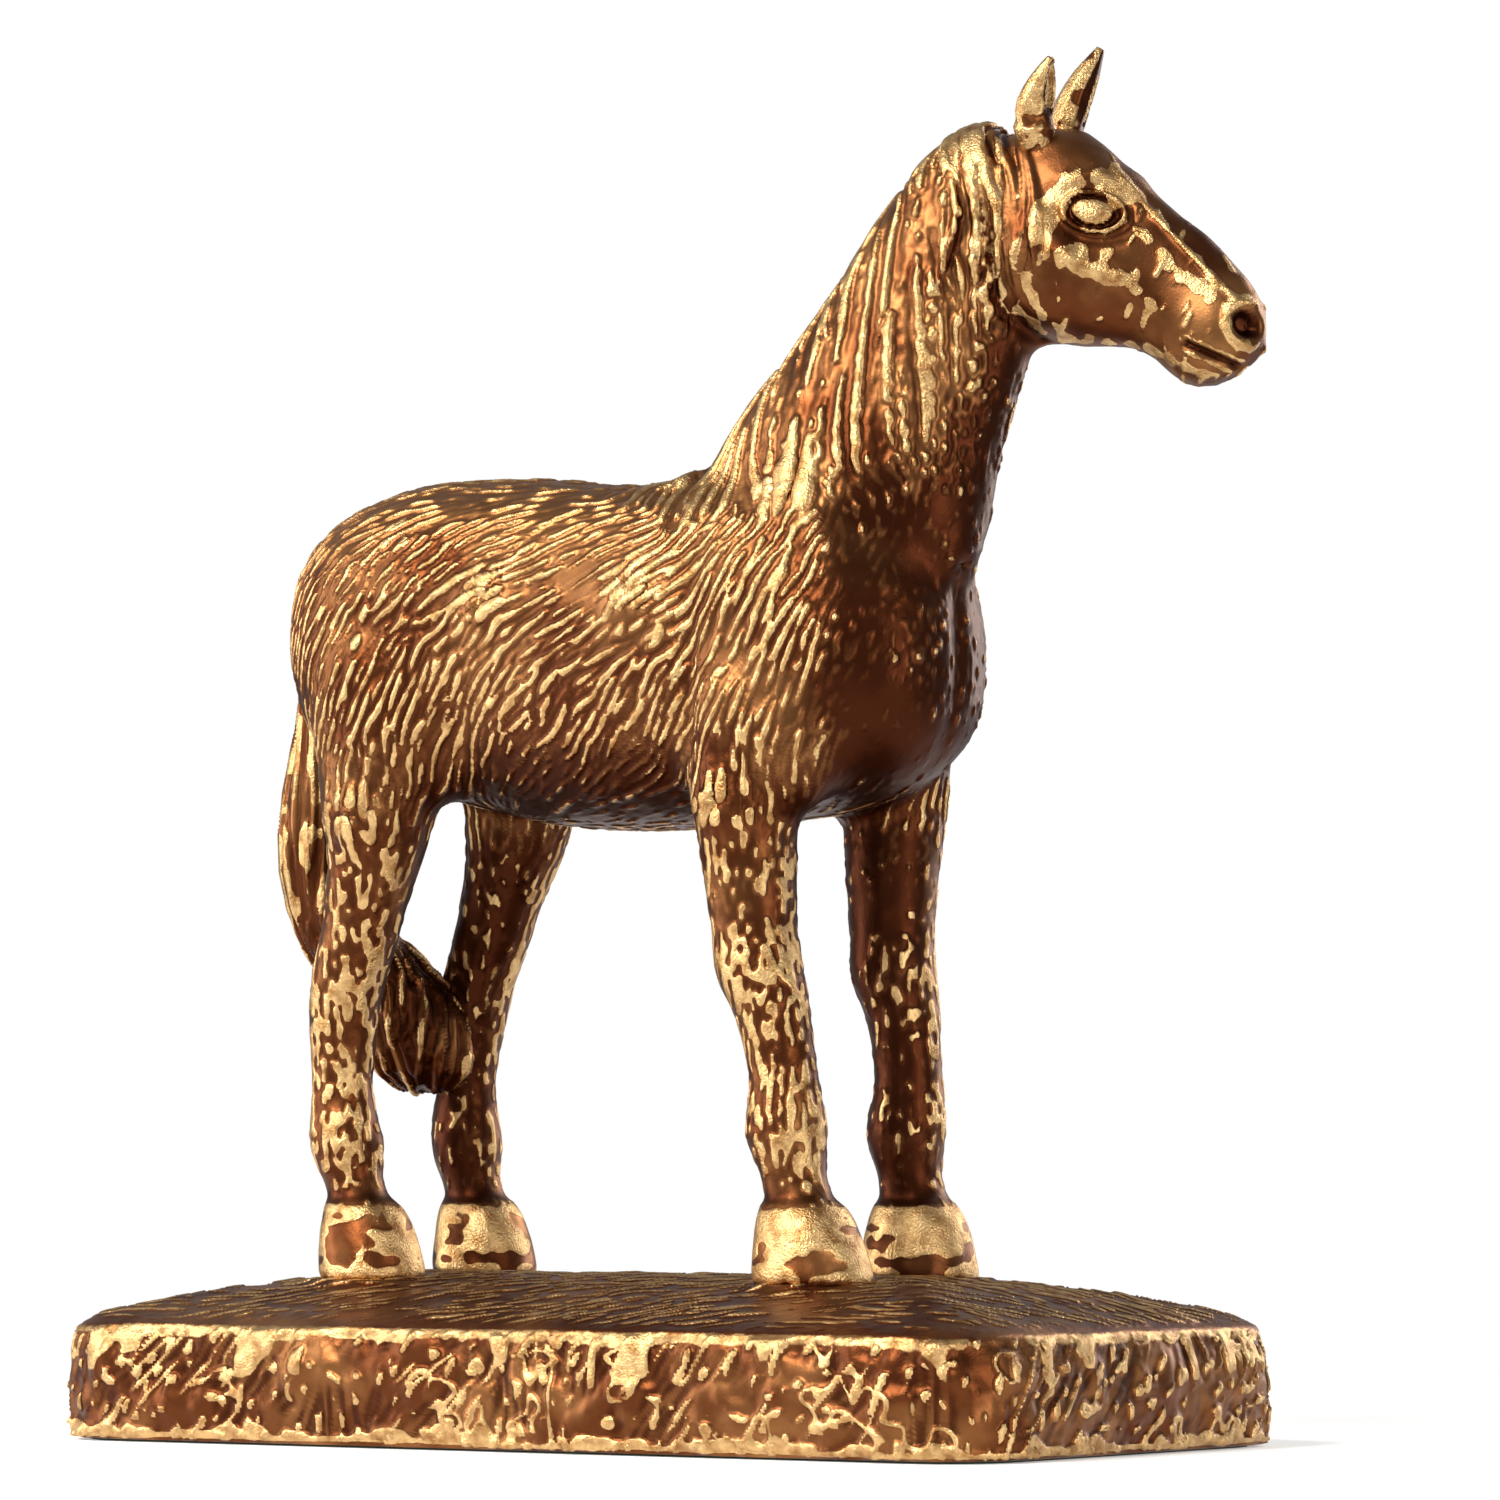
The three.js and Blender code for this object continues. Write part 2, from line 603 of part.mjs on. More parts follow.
// ---- Pins and plugs ----

// The skin that the ends of the pins are worked flush with.
const pinSkin = joined(body(pinSink), neck(pinSink), ...legs.map((one) => limb(one, pinSink)));
for (const { one, pin } of spigots) {
  place(`${one.name}_pin`, pin(pinDiameter / 2).intersect(pinSkin), pinBronze());
}
for (const { name, pin } of neckPins) {
  place(name, pin(pinDiameter / 2).intersect(pinSkin), pinBronze());
}
place("tail_pin", tailPin(pinDiameter / 2).intersect(pinSkin), pinBronze());
for (const plug of plugPlaces) {
  place(plug.name, plugBar(plug, plugDiameter / 2).intersect(pinSkin), pinBronze());
}

// ---- The base ----

// The base's outline in plan, at a distance inside it.
function outline(inset, height) {
  const cornerSteps = 4;
  const corner = Math.max(baseCorner - inset, 1);
  const [halfX, halfY] = [baseLength / 2 - inset - corner, baseWidth / 2 - inset - corner];
  const middles = [
    [halfX, halfY],
    [-halfX, halfY],
    [-halfX, -halfY],
    [halfX, -halfY],
  ];
  return middles.flatMap(([x, y], quarter) =>
    Array.from({ length: cornerSteps + 1 }, (_, step) => {
      const angle = (Math.PI / 2) * (quarter + step / cornerSteps);
      return new THREE.Vector3(x + corner * Math.cos(angle), y + corner * Math.sin(angle), height);
    }),
  );
}

const plate = (inset, low, high) => skin([outline(inset, low), outline(inset, high)]);

// Rings of the base from its rim up: distance inside the outline, and share of the height of its sides.
const baseSide = [
  [2.2, 0],
  [1.2, 0.06],
  [0.4, 0.26],
  [0, 0.52],
  [0.6, 0.78],
  [2.0, 0.93],
  [4.4, 1],
];
const crownSteps = 5;
const crownRidge = 3; // half the width of the crown's flat middle
const crownSpan = baseWidth / 2 - crownRidge;
const baseRings = baseSide.map(([inset, share]) => outline(inset, rimHeight + share * baseEdge));
const [shoulderInset] = baseSide.at(-1);
for (let i = 1; i <= crownSteps; i++) {
  const share = i / crownSteps;
  const inset = shoulderInset + share * (crownSpan - shoulderInset);
  const rise = (baseCrown + crownOver) * Math.sin((share * Math.PI) / 2);
  baseRings.push(outline(inset, rimHeight + baseEdge + rise));
}
const hoofHalf = Math.max(...legs.map(({ rows }) => Math.max(...rows.at(-1).slice(2)))) * pct;
const hoofPad = hoofHalf + hoofMargin;
const padFoot = seatHeight - baseCrown - baseWall;
const hoofPads = hoofPlaces.map(([x, y]) => upright(x, y, padFoot, seatHeight, hoofPad, 22));
const seatCuts = hoofPlaces.map(([x, y]) =>
  upright(x, y, seatHeight, seatHeight + baseCrown, hoofPad + 0.5, 20),
);
const baseSkin = without(joined(skin(baseRings), ...hoofPads), ...seatCuts);

const plateLow = feltThickness + layerGap;
const plateHigh = plateLow + plateThickness;
const postLow = plateHigh + layerGap;
const innerTop = seatHeight - baseWall - shelf;
const screwPlaces = coverScrewRows.flatMap((row) =>
  sides.map((side) => [
    row * (baseLength / 2 - baseWall - cornerPostInset),
    side * (baseWidth / 2 - baseWall - (row === 0 ? sidePostInset : cornerPostInset / 2)),
  ]),
);
const coreEdge = 6; // slope round the hollow's top
const coreCrown = 30; // from its wall in to its highest part
const baseCore = skin([
  outline(baseWall, -1),
  outline(baseWall, rimHeight + baseEdge - baseWall - coreEdge / 2),
  outline(baseWall + coreEdge, rimHeight + baseEdge - baseWall),
  outline(baseWall + coreCrown, innerTop),
]);
const hoofBosses = hoofPlaces.map(([x, y]) =>
  upright(x, y, innerTop - bossDepth, seatHeight - 1, bossDiameter / 2, 14),
);
const screwPosts = screwPlaces.map(([x, y]) => upright(x, y, postLow, innerTop, coverPostDiameter / 2, 12));
const base = without(
  joined(baseSkin.subtract(baseCore), joined(...hoofBosses, ...screwPosts).intersect(baseSkin)),
  ...hoofPlaces.map(([x, y]) => upright(x, y, 0, seatHeight + over, studDiameter / 2 + studClearance, 12)),
  ...screwPlaces.map(([x, y]) =>
    upright(x, y, 0, plateLow + coverScrewLength + endGap, coverScrewDiameter / 2 + screwClearance, 12),
  ),
);
place("base", base, bronze());

// ---- What holds and closes the base ----

function turned(profile, segments = 12) {
  const points = profile.map(([radius, z]) => new THREE.Vector2(radius, z));
  return solidOf(new THREE.LatheGeometry(points, segments).rotateX(Math.PI / 2));
}
const washerTop = innerTop - bossDepth - layerGap;
const nutTop = washerTop - washerThickness - layerGap;
const studLow = nutTop - nutHeight - studTail;
const chamfer = 0.5;
const nutRadius = nutAcrossFlats / Math.sqrt(3);
const hexagon = (radius, z) =>
  Array.from({ length: 6 }, (_, k) => {
    const angle = (k * Math.PI) / 3;
    return new THREE.Vector3(radius * Math.cos(angle), radius * Math.sin(angle), z);
  });
const hoofNames = legs.map(({ name }) => name.replace("_leg", "").replace("foreleg", "fore"));

hoofPlaces.forEach(([x, y], i) => {
  const stud = turned([
    [0, studLow],
    [studDiameter / 2 - chamfer, studLow],
    [studDiameter / 2, studLow + chamfer],
    [studDiameter / 2, seatHeight + studInHoof - chamfer],
    [studDiameter / 2 - chamfer, seatHeight + studInHoof],
    [0, seatHeight + studInHoof],
  ]);
  const washer = turned([
    [studBore, washerTop - washerThickness],
    [washerDiameter / 2, washerTop - washerThickness],
    [washerDiameter / 2, washerTop],
    [studBore, washerTop],
    [studBore, washerTop - washerThickness],
  ]);
  const nutRings = [
    [nutRadius - chamfer, nutTop - nutHeight],
    [nutRadius, nutTop - nutHeight + chamfer],
    [nutRadius, nutTop],
  ].map(([radius, z]) => hexagon(radius, z));
  const nut = skin(nutRings).subtract(upright(0, 0, 0, seatHeight, studBore, 12));
  place(`stud_${hoofNames[i]}`, stud.translate([x, y, 0]), steel());
  place(`washer_${hoofNames[i]}`, washer.translate([x, y, 0]), steel());
  place(`nut_${hoofNames[i]}`, nut.translate([x, y, 0]), steel());
});

const coverInset = baseWall + plateGap;
const screwHoles = screwPlaces.map(([x, y]) => {
  const head = coverScrewHead / 2 + screwClearance;
  const shank = coverScrewDiameter / 2 + screwClearance;
  const sink = bar(
    new THREE.Vector3(x, y, plateLow - 0.01),
    new THREE.Vector3(x, y, plateLow + coverScrewCone),
    head,
    12,
    shank,
  );
  return sink.add(upright(x, y, 0, plateHigh + 1, shank, 12));
});
place("cover_plate", without(plate(coverInset, plateLow, plateHigh), ...screwHoles), brass());
place("felt_pad", plate(coverInset, 0, feltThickness), felt());

screwPlaces.forEach(([x, y], i) => {
  const shank = coverScrewDiameter / 2;
  const screw = turned([
    [0, plateLow],
    [coverScrewHead / 2, plateLow],
    [shank, plateLow + coverScrewCone],
    [shank, plateLow + coverScrewLength - chamfer],
    [shank - chamfer, plateLow + coverScrewLength],
    [0, plateLow + coverScrewLength],
  ]);
  const slotBox = new THREE.BoxGeometry(coverScrewHead + 2, slotWidth, slotDepth * 2);
  const slot = solidOf(slotBox.translate(0, 0, plateLow));
  place(`cover_screw_${i + 1}`, screw.subtract(slot).translate([x, y, 0]), steel());
});

export default group;
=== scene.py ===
import math
import time

import bmesh
import bpy
import numpy as np
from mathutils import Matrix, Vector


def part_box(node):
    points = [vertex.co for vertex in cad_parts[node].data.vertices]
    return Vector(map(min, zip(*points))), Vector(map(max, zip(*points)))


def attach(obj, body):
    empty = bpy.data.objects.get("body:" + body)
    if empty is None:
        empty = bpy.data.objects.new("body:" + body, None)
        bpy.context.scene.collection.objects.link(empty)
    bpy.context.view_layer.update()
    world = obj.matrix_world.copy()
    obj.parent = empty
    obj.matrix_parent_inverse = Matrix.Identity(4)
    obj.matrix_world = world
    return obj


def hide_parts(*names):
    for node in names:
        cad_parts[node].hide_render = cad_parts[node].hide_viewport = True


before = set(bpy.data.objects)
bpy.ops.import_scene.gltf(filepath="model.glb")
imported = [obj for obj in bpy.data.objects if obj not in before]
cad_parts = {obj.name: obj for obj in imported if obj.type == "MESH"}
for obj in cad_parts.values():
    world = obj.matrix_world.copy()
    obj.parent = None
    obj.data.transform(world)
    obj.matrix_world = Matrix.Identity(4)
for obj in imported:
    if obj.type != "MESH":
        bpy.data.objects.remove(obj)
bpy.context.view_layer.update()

import openvdb
from mathutils import Vector
from mathutils.bvhtree import BVHTree
from mathutils.kdtree import KDTree

# A patinated bronze horse on a rough-hewn bronze base.
# The castings are sculpted from the frame's plain ones: one skin over all of them is carved,
# then cut again where the castings meet. Shapes are worked on in millimetres.
mm = 0.001
started = time.time()


def stage(words):
    print(f"[{time.time() - started:5.1f} s] {words}")


# The horse is laid out in hundredths of its height at the withers, over the ground it stands on.
torsoLow, torsoRear = 54.2, 52.4  # the torso's box begins this high, and this far behind the middle
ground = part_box("right_foreleg")[0][2] / mm
unit = (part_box("torso")[0][2] / mm - ground) / torsoLow
middleX = (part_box("torso")[0][0] / mm) + torsoRear * unit


def onHorse(x, y, z):
    return np.array([middleX + x * unit, y * unit, ground + z * unit])


def inUnits(points):
    return (points - [middleX, 0, ground]) / unit


table = np.random.default_rng(11).random(4096)


def lattice(cells, seed):  # a chance value for each cell, the same at every run
    mixed = cells[..., 0] * 73856093 ^ cells[..., 1] * 19349663 ^ cells[..., 2] * 83492791 ^ seed * 2654435
    return table[mixed & 4095]


def noise(points, size, seed=0, octaves=1):  # smooth chance values between -1 and 1, for one octave
    total = 0
    weight = 1.0
    for octave in range(octaves):
        place = points / size * 2**octave + 31.7 * seed
        cell = np.floor(place).astype(np.int64)
        blend = place - cell
        blend = blend * blend * (3 - 2 * blend)
        value = 0
        for corner in range(8):
            step = np.array([corner & 1, corner >> 1 & 1, corner >> 2 & 1])
            share = np.prod(np.where(step, blend, 1 - blend), axis=1)
            value = value + share * lattice(cell + step, seed + octave)
        total = total + weight * (2 * value - 1)
        weight *= 0.5
    return total


def smooth(value, low, high):
    t = np.clip((value - low) / (high - low), 0, 1)
    return t * t * (3 - 2 * t)


def bell(distance, width):
    return np.exp(-((distance / width) ** 2))


def castShape(*names):  # the frame's plain castings, as one set of triangles
    points, faces, count = [], [], 0
    for name in names:
        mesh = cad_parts[name].data
        mesh.calc_loop_triangles()
        place = np.empty(len(mesh.vertices) * 3)
        mesh.vertices.foreach_get("co", place)
        corner = np.empty(len(mesh.loop_triangles) * 3, dtype=np.int64)
        mesh.loop_triangles.foreach_get("vertices", corner)
        points.append(place.reshape(-1, 3) / mm)
        faces.append(corner.reshape(-1, 3) + count)
        count += len(mesh.vertices)
    return np.concatenate(points), np.concatenate(faces)


def normalsOf(points, faces):
    across = points[faces[:, 2]] - points[faces[:, 0]]
    along = points[faces[:, -1]] - points[faces[:, 1]]
    normal = np.cross(across, along)
    corners = range(faces.shape[1])
    out = np.stack(
        [sum(np.bincount(faces[:, c], normal[:, k], len(points)) for c in corners) for k in range(3)], 1
    )
    return out / np.maximum(np.linalg.norm(out, axis=1, keepdims=True), 1e-9)


def volumeOf(points, faces):
    a, b, c, d = (points[faces[:, k]] for k in range(4))
    return (np.einsum("ij,ij->i", a, np.cross(b, c)) + np.einsum("ij,ij->i", a, np.cross(c, d))).sum() / 6


def biggestPart(points, faces):  # leaves out loose crumbs and inner walls
    label = np.arange(len(points))
    while True:
        low = label[faces].min(axis=1)
        lower = label.copy()
        np.minimum.at(lower, faces.ravel(), np.repeat(low, faces.shape[1]))
        lower = lower[lower]
        if (lower == label).all():
            break
        label = lower
    names, counts = np.unique(label, return_counts=True)
    largest = label == names[counts.argmax()]
    number = np.cumsum(largest) - 1
    return points[largest], number[faces[largest[faces[:, 0]]]]


def remesh(points, faces, voxel, grow=0.0):
    if faces.shape[1] == 4:
        faces = np.concatenate([faces[:, [0, 1, 2]], faces[:, [0, 2, 3]]])
    grid = openvdb.FloatGrid.createLevelSetFromPolygons(
        points.astype(np.float32),
        triangles=faces.astype(np.uint32),
        transform=openvdb.createLinearTransform(voxel),
        halfWidth=3.0 + abs(grow) / voxel,
    )
    points, faces = grid.convertToQuads(isovalue=grow)
    points, faces = biggestPart(points.astype(float), faces.astype(np.int64))
    if volumeOf(points, faces) < 0:
        faces = faces[:, ::-1]
    return points, faces


def ringOf(points, faces):  # each edge's two ends, and how many neighbours each point has
    start = faces.ravel()
    end = np.roll(faces, -1, axis=1).ravel()
    return start, end, np.bincount(start, minlength=len(points))[:, None]


# Each point moves toward the mean of its neighbours, then back by keep, so the form doesn't shrink.
def relaxed(points, ring, times, weight=1.0, keep=0.53):
    start, end, degree = ring
    for turn in range(times):
        for step in (0.5, -keep) if keep else (0.5,):
            mean = np.stack([np.bincount(start, points[end, k], len(points)) for k in range(3)], 1) / degree
            points = points + step * weight * (mean - points)
    return points


def evened(points, faces, ring, times, weight):  # smoothed, but as full as before
    before = points
    after = relaxed(points, ring, times, weight, keep=0)
    normal = normalsOf(after, faces)
    lost = np.einsum("ij,ij->i", before - after, normal)
    return after + normal * spread(lost, ring, 40)[:, None]


def spread(values, ring, times):  # blurs values over the surface
    start, end, degree = ring
    for turn in range(times):
        values = 0.3 * values + 0.7 * np.bincount(start, values[end], len(values)) / degree[:, 0]
    return values


def broad(facing, ring, times):  # which way the surface faces, without its small detail
    out = np.stack([spread(facing[:, k], ring, times) for k in range(3)], 1)
    return out / np.maximum(np.linalg.norm(out, axis=1, keepdims=True), 1e-9)


# The nearest point one step ahead of each point, and one behind.
def chains(points, way, step=0.9):
    tree = KDTree(len(points))
    for i, spot in enumerate(points.tolist()):
        tree.insert(spot, i)
    tree.balance()
    both = []
    for sign in (1, -1):
        ahead = (points + sign * step * way).tolist()
        both.append(np.array([tree.find(spot)[1] for spot in ahead]))
    return both


# The source drawn out along the chains, with a mean of 0 and a spread of 1.
def streaks(source, both, steps):
    total = source.copy()
    for chain in both:
        spot = np.arange(len(source))
        for k in range(1, steps + 1):
            spot = chain[spot]
            total += math.cos(0.5 * math.pi * k / (steps + 1)) * source[spot]
    return (total - total.mean()) / total.std()


def grain(points, ring, size, seed):  # even noise, without broad light and dark patches
    source = noise(points, size, seed)
    return source - spread(source, ring, int(3.5 * size**2))


def pathDistance(points, path):  # how far from the path, and how far along it from 0 to 1
    best = np.full(len(points), 1e9)
    share = np.zeros(len(points))
    path = np.asarray(path, dtype=float)
    for i in range(len(path) - 1):
        a, b = path[i], path[i + 1]
        t = np.clip((points - a) @ (b - a) / ((b - a) @ (b - a)), 0, 1)
        distance = np.linalg.norm(points - a - t[:, None] * (b - a), axis=1)
        nearer = distance < best
        best[nearer] = distance[nearer]
        share[nearer] = ((i + t) / (len(path) - 1))[nearer]
    return best, share


def curve(controls, count):  # a smooth curve through the controls
    controls = np.asarray(controls, dtype=float)
    padded = np.concatenate([controls[:1], controls, controls[-1:]])
    place = np.linspace(0, len(controls) - 1, count)
    out = []
    for spot in place:
        i = min(int(spot), len(controls) - 2)
        s = spot - i
        a, b, c, d = padded[i : i + 4]
        out.append(b + 0.5 * s * (c - a + s * (2 * a - 5 * b + 4 * c - d + s * (3 * (b - c) + d - a))))
    return np.array(out)


def tube(path, radii, sides=10):
    way = np.gradient(path, axis=0)
    way /= np.linalg.norm(way, axis=1, keepdims=True)
    aside = np.cross(way, [0.0, 0.0, 1.0]) + 1e-6
    aside /= np.linalg.norm(aside, axis=1, keepdims=True)
    over = np.cross(way, aside)
    turn = np.linspace(0, 2 * np.pi, sides, endpoint=False)
    cosine, sine = np.cos(turn)[None, :, None], np.sin(turn)[None, :, None]
    rings = path[:, None] + radii[:, None, None] * (cosine * aside[:, None] + sine * over[:, None])
    points = np.concatenate([rings.reshape(-1, 3), path[:1], path[-1:]])
    faces = []
    last = len(path) - 1
    for i in range(last):
        for k in range(sides):
            a, b = i * sides + k, i * sides + (k + 1) % sides
            faces += [(a, b, b + sides), (a, b + sides, a + sides)]
    for k in range(sides):
        follow = (k + 1) % sides
        faces += [(len(points) - 2, follow, k), (len(points) - 1, last * sides + k, last * sides + follow)]
    return points, np.array(faces)


def together(*shapes):
    points, faces, count = [], [], 0
    for place, corner in shapes:
        if corner.shape[1] == 4:
            corner = np.concatenate([corner[:, [0, 1, 2]], corner[:, [0, 2, 3]]])
        points.append(place)
        faces.append(corner + count)
        count += len(place)
    return np.concatenate(points), np.concatenate(faces)


horseCastings = [
    "torso", "head_and_neck", "left_foreleg", "right_foreleg", "left_hind_leg", "right_hind_leg",
]
skinLook = {"coarse": 1.1, "fine": 0.46, "grow": 0.32, "smoothing": 80}

points, faces = remesh(*castShape(*horseCastings), skinLook["coarse"], skinLook["grow"])
ring = ringOf(points, faces)
u = inUnits(points)
onLegs = 1 - smooth(u[:, 2], 50, 62)
nearHead = smooth(u[:, 0], 44, 52) * smooth(u[:, 2], 105, 112)
soft = (1 - 0.8 * onLegs) * (1 - 0.75 * nearHead)
points = evened(points, faces, ring, skinLook["smoothing"], soft[:, None])
points = relaxed(points, ring, 10, 0.5)
stage(f"horse's form: {len(points)} points")


# The head has its own directions: forward, to its left and up from the middle of the cheek.
headYaw = math.radians(10)
cheek = onHorse(50.3, 7.0, 126.0)
headWays = np.array([
    [math.cos(headYaw), math.sin(headYaw), 0],
    [-math.sin(headYaw), math.cos(headYaw), 0],
    [0, 0, 1],
])


def inHead(points):
    return (points - cheek) @ headWays.T


def fromHead(*place):
    return cheek + np.asarray(place, dtype=float) @ headWays


# Muscle and bone, pushed out or pressed in: middle, three half lengths, turn about y, height.
# Each is on the right side and is mirrored to the left, so one on the middle line counts twice.
bodyForms = [
    ([-33.5, -17, 85.5], [9, 9, 9], 0, 1.0),
    ([-42, -14, 75], [6, 8, 10], 0, 0.9),
    ([-29.5, -17, 70], [4.5, 8, 8], 0, 1.4),
    ([-21.5, -16, 68], [3.4, 8, 9], 25, -1.8),
    ([-38, -17, 60], [2.2, 8, 9], 0, -0.8),
    ([14.6, -17, 74], [2.0, 8, 14], 0, -1.8),
    ([22.5, -16, 70.5], [6, 8, 8], 0, 1.2),
    ([22.5, -16, 84], [5, 8, 11], -30, 1.0),
    ([28.5, -14, 87], [2.0, 8, 9], -35, -1.0),
    ([34, -12, 77], [5, 7, 6], 0, 0.9),
    ([39, 0, 76], [5, 1.6, 9], 0, -1.2),
    ([0, -18, 68], [14, 6, 7], 0, 0.6),
]


def turned(points, middle, half, degrees):
    a = math.radians(degrees)
    x, y, z = (points - middle).T
    x, z = x * math.cos(a) - z * math.sin(a), x * math.sin(a) + z * math.cos(a)
    return (x / half[0]) ** 2 + (y / half[1]) ** 2 + (z / half[2]) ** 2


normal = normalsOf(points, faces)
u = inUnits(points)
push = np.zeros(len(points))
for middle, half, degrees, height in bodyForms:
    for side in (1, -1):
        push += height * np.exp(-turned(u, [middle[0], middle[1] * side, middle[2]], half, degrees))
points = points + normal * push[:, None]
points = relaxed(points, ring, 4, 0.5)


# The ears rise from swollen roots. The bridge of the nose and the forehead are drawn in.
normal = normalsOf(points, faces)
h = inHead(points)
earRoots = [np.array([0.7, 8.5 * side, 21.5]) for side in (-1, 1)]
push = sum(1.6 * bell(np.linalg.norm(h - root, axis=1), 5) for root in earRoots)
push -= 2.3 * np.exp(-(((h - [24, 0, 6]) / [12, 9, 10]) ** 2).sum(axis=1))
sink = 4.2 * np.exp(-(((h - [17, 0, 21]) / [8.5, 11, 9]) ** 2).sum(axis=1))
points = points + normal * push[:, None] - sink[:, None] * [0, 0, 1]
points = relaxed(points, ring, 4, 0.5)

# The mane: locks that leave the crest, cross to the right and run down the neck.
skin = BVHTree.FromPolygons(points.tolist(), faces.tolist())


def onSkin(spot):
    place, facing, _, _ = skin.find_nearest(Vector(spot))
    return np.array(place), np.array(facing)


def walk(spot, heading, count, step):
    spot, facing = onSkin(spot)
    path = [spot + facing * 0.15]
    for i in range(count):
        way = heading(i / count)
        way = way - facing * (way @ facing)
        spot, facing = onSkin(spot + way / np.linalg.norm(way) * step)
        path.append(spot + facing * 0.15)
    return np.array(path)


random = np.random.default_rng(5)
maneLook = {
    "locks": 30, "strands": 2, "step": 1.3, "shortest": 14, "longer": 30, "uneven": (0.75, 1.1),
    "swing": (0.15, 0.45), "drift": (-0.12, 0.12), "width": (0.9, 1.35), "thicker": 1.45,
    "hang": 27, "hangMore": 19, "hangLeft": 8,
}
crestLine = curve([
    onHorse(13, 0, 101.5), onHorse(20, 0, 106), onHorse(26, 0.3, 114), onHorse(32, 1, 124),
    onHorse(38, 2.2, 134), onHorse(44, 4, 140), onHorse(49, 6, 141),
], 80)
locks = []
for i in range(maneLook["locks"]):
    share = i / (maneLook["locks"] - 1)
    root = crestLine[int(share * 75)]
    fullness = math.sin(math.pi * (0.1 + 0.62 * share))  # the longest locks leave two thirds up the neck
    reach = maneLook["shortest"] + maneLook["longer"] * fullness * random.uniform(*maneLook["uneven"])
    swing = random.uniform(*maneLook["swing"])
    phase = random.uniform(-0.5, 0.5)
    for strand in range(maneLook["strands"]):
        drift = random.uniform(*maneLook["drift"])

        def heading(t, swing=swing, phase=phase, drift=drift):
            over = 1 - smooth(t, 0.02, 0.2)
            sweep = swing * math.sin(5 * t + phase)
            return np.array([-0.3 * over + 0.2 + drift + sweep, -1.6 * over - 0.1, -1.0])

        start = root + np.array([random.uniform(-1.5, 1.5), random.uniform(-0.5, 1.5), 0])
        path = walk(start, heading, int(reach / maneLook["step"]), maneLook["step"])
        t = np.linspace(0, 1, len(path))
        isThick = share > 0.45 and strand == 0 and i % 3 == 0
        width = random.uniform(*maneLook["width"]) * (maneLook["thicker"] if isThick else 1)
        radii = width * (0.35 + 0.85 * smooth(t, 0.15, 0.75)) * (1 - smooth(t, 0.8, 1.02)) ** 0.7 + 0.12
        locks.append((path, radii))

shape = together((points, faces), *[tube(path, radii, 8) for path, radii in locks])
points, faces = remesh(*shape, skinLook["fine"], 0.05)
ring = ringOf(points, faces)
points = relaxed(points, ring, 3, 0.5)
stage(f"horse's skin: {len(points)} points")


# On the side of the head, forward and up from the cheek. An oval has a middle, half lengths and a turn.
headLook = {
    "eye": ((15.0, 3.8), (4.3, 2.8), -14),
    "nostril": ((46.2, -20.2), (2.6, 3.5), 20),
    "jaw": ((4.5, -8), (10, 14.5), 12),
    "brow": [(5, 4), (9, 9.5), (15, 11.5), (21.5, 7)],
    "behindEye": [(4, -1), (5, 4), (7, 7)],
    "underEye": [(11, -3.8), (18, -4.6)],
    "ridge": [(17, 14), (22, 8.2), (30, -0.8), (38, -9), (44, -15)],
    "underRidge": [(24, 0), (32, -8.5), (39, -14.5)],
    "bone": [(7, -4), (14, -7.5), (21, -10), (26, -15)],
    "mouth": [(51, -32), (46.5, -30.2), (40, -27), (34, -24)],
    "jawEdge": [(-2, -16), (4, -21), (13, -22.5), (24, -24), (33, -28.5), (41, -32)],
    "throat": [(0, -8), (3, -15), (6, -19)],
}

normal = normalsOf(points, faces)
h = inHead(points)
reach, aside, high = h.T
onHead = smooth(reach, -12, -4)
push = np.zeros(len(points))
gold = np.zeros(len(points))
dark = np.zeros(len(points))


def oval(middle, half, degrees):
    a = math.radians(degrees)
    x, z = reach - middle[0], high - middle[1]
    x, z = x * math.cos(a) + z * math.sin(a), -x * math.sin(a) + z * math.cos(a)
    return np.sqrt((x / half[0]) ** 2 + (z / half[1]) ** 2)


def drawn(path):  # distance from a line drawn on the side of the head
    flat = np.stack([reach, high, 0 * reach], 1)
    return pathDistance(flat, [[*spot, 0] for spot in path])[0]


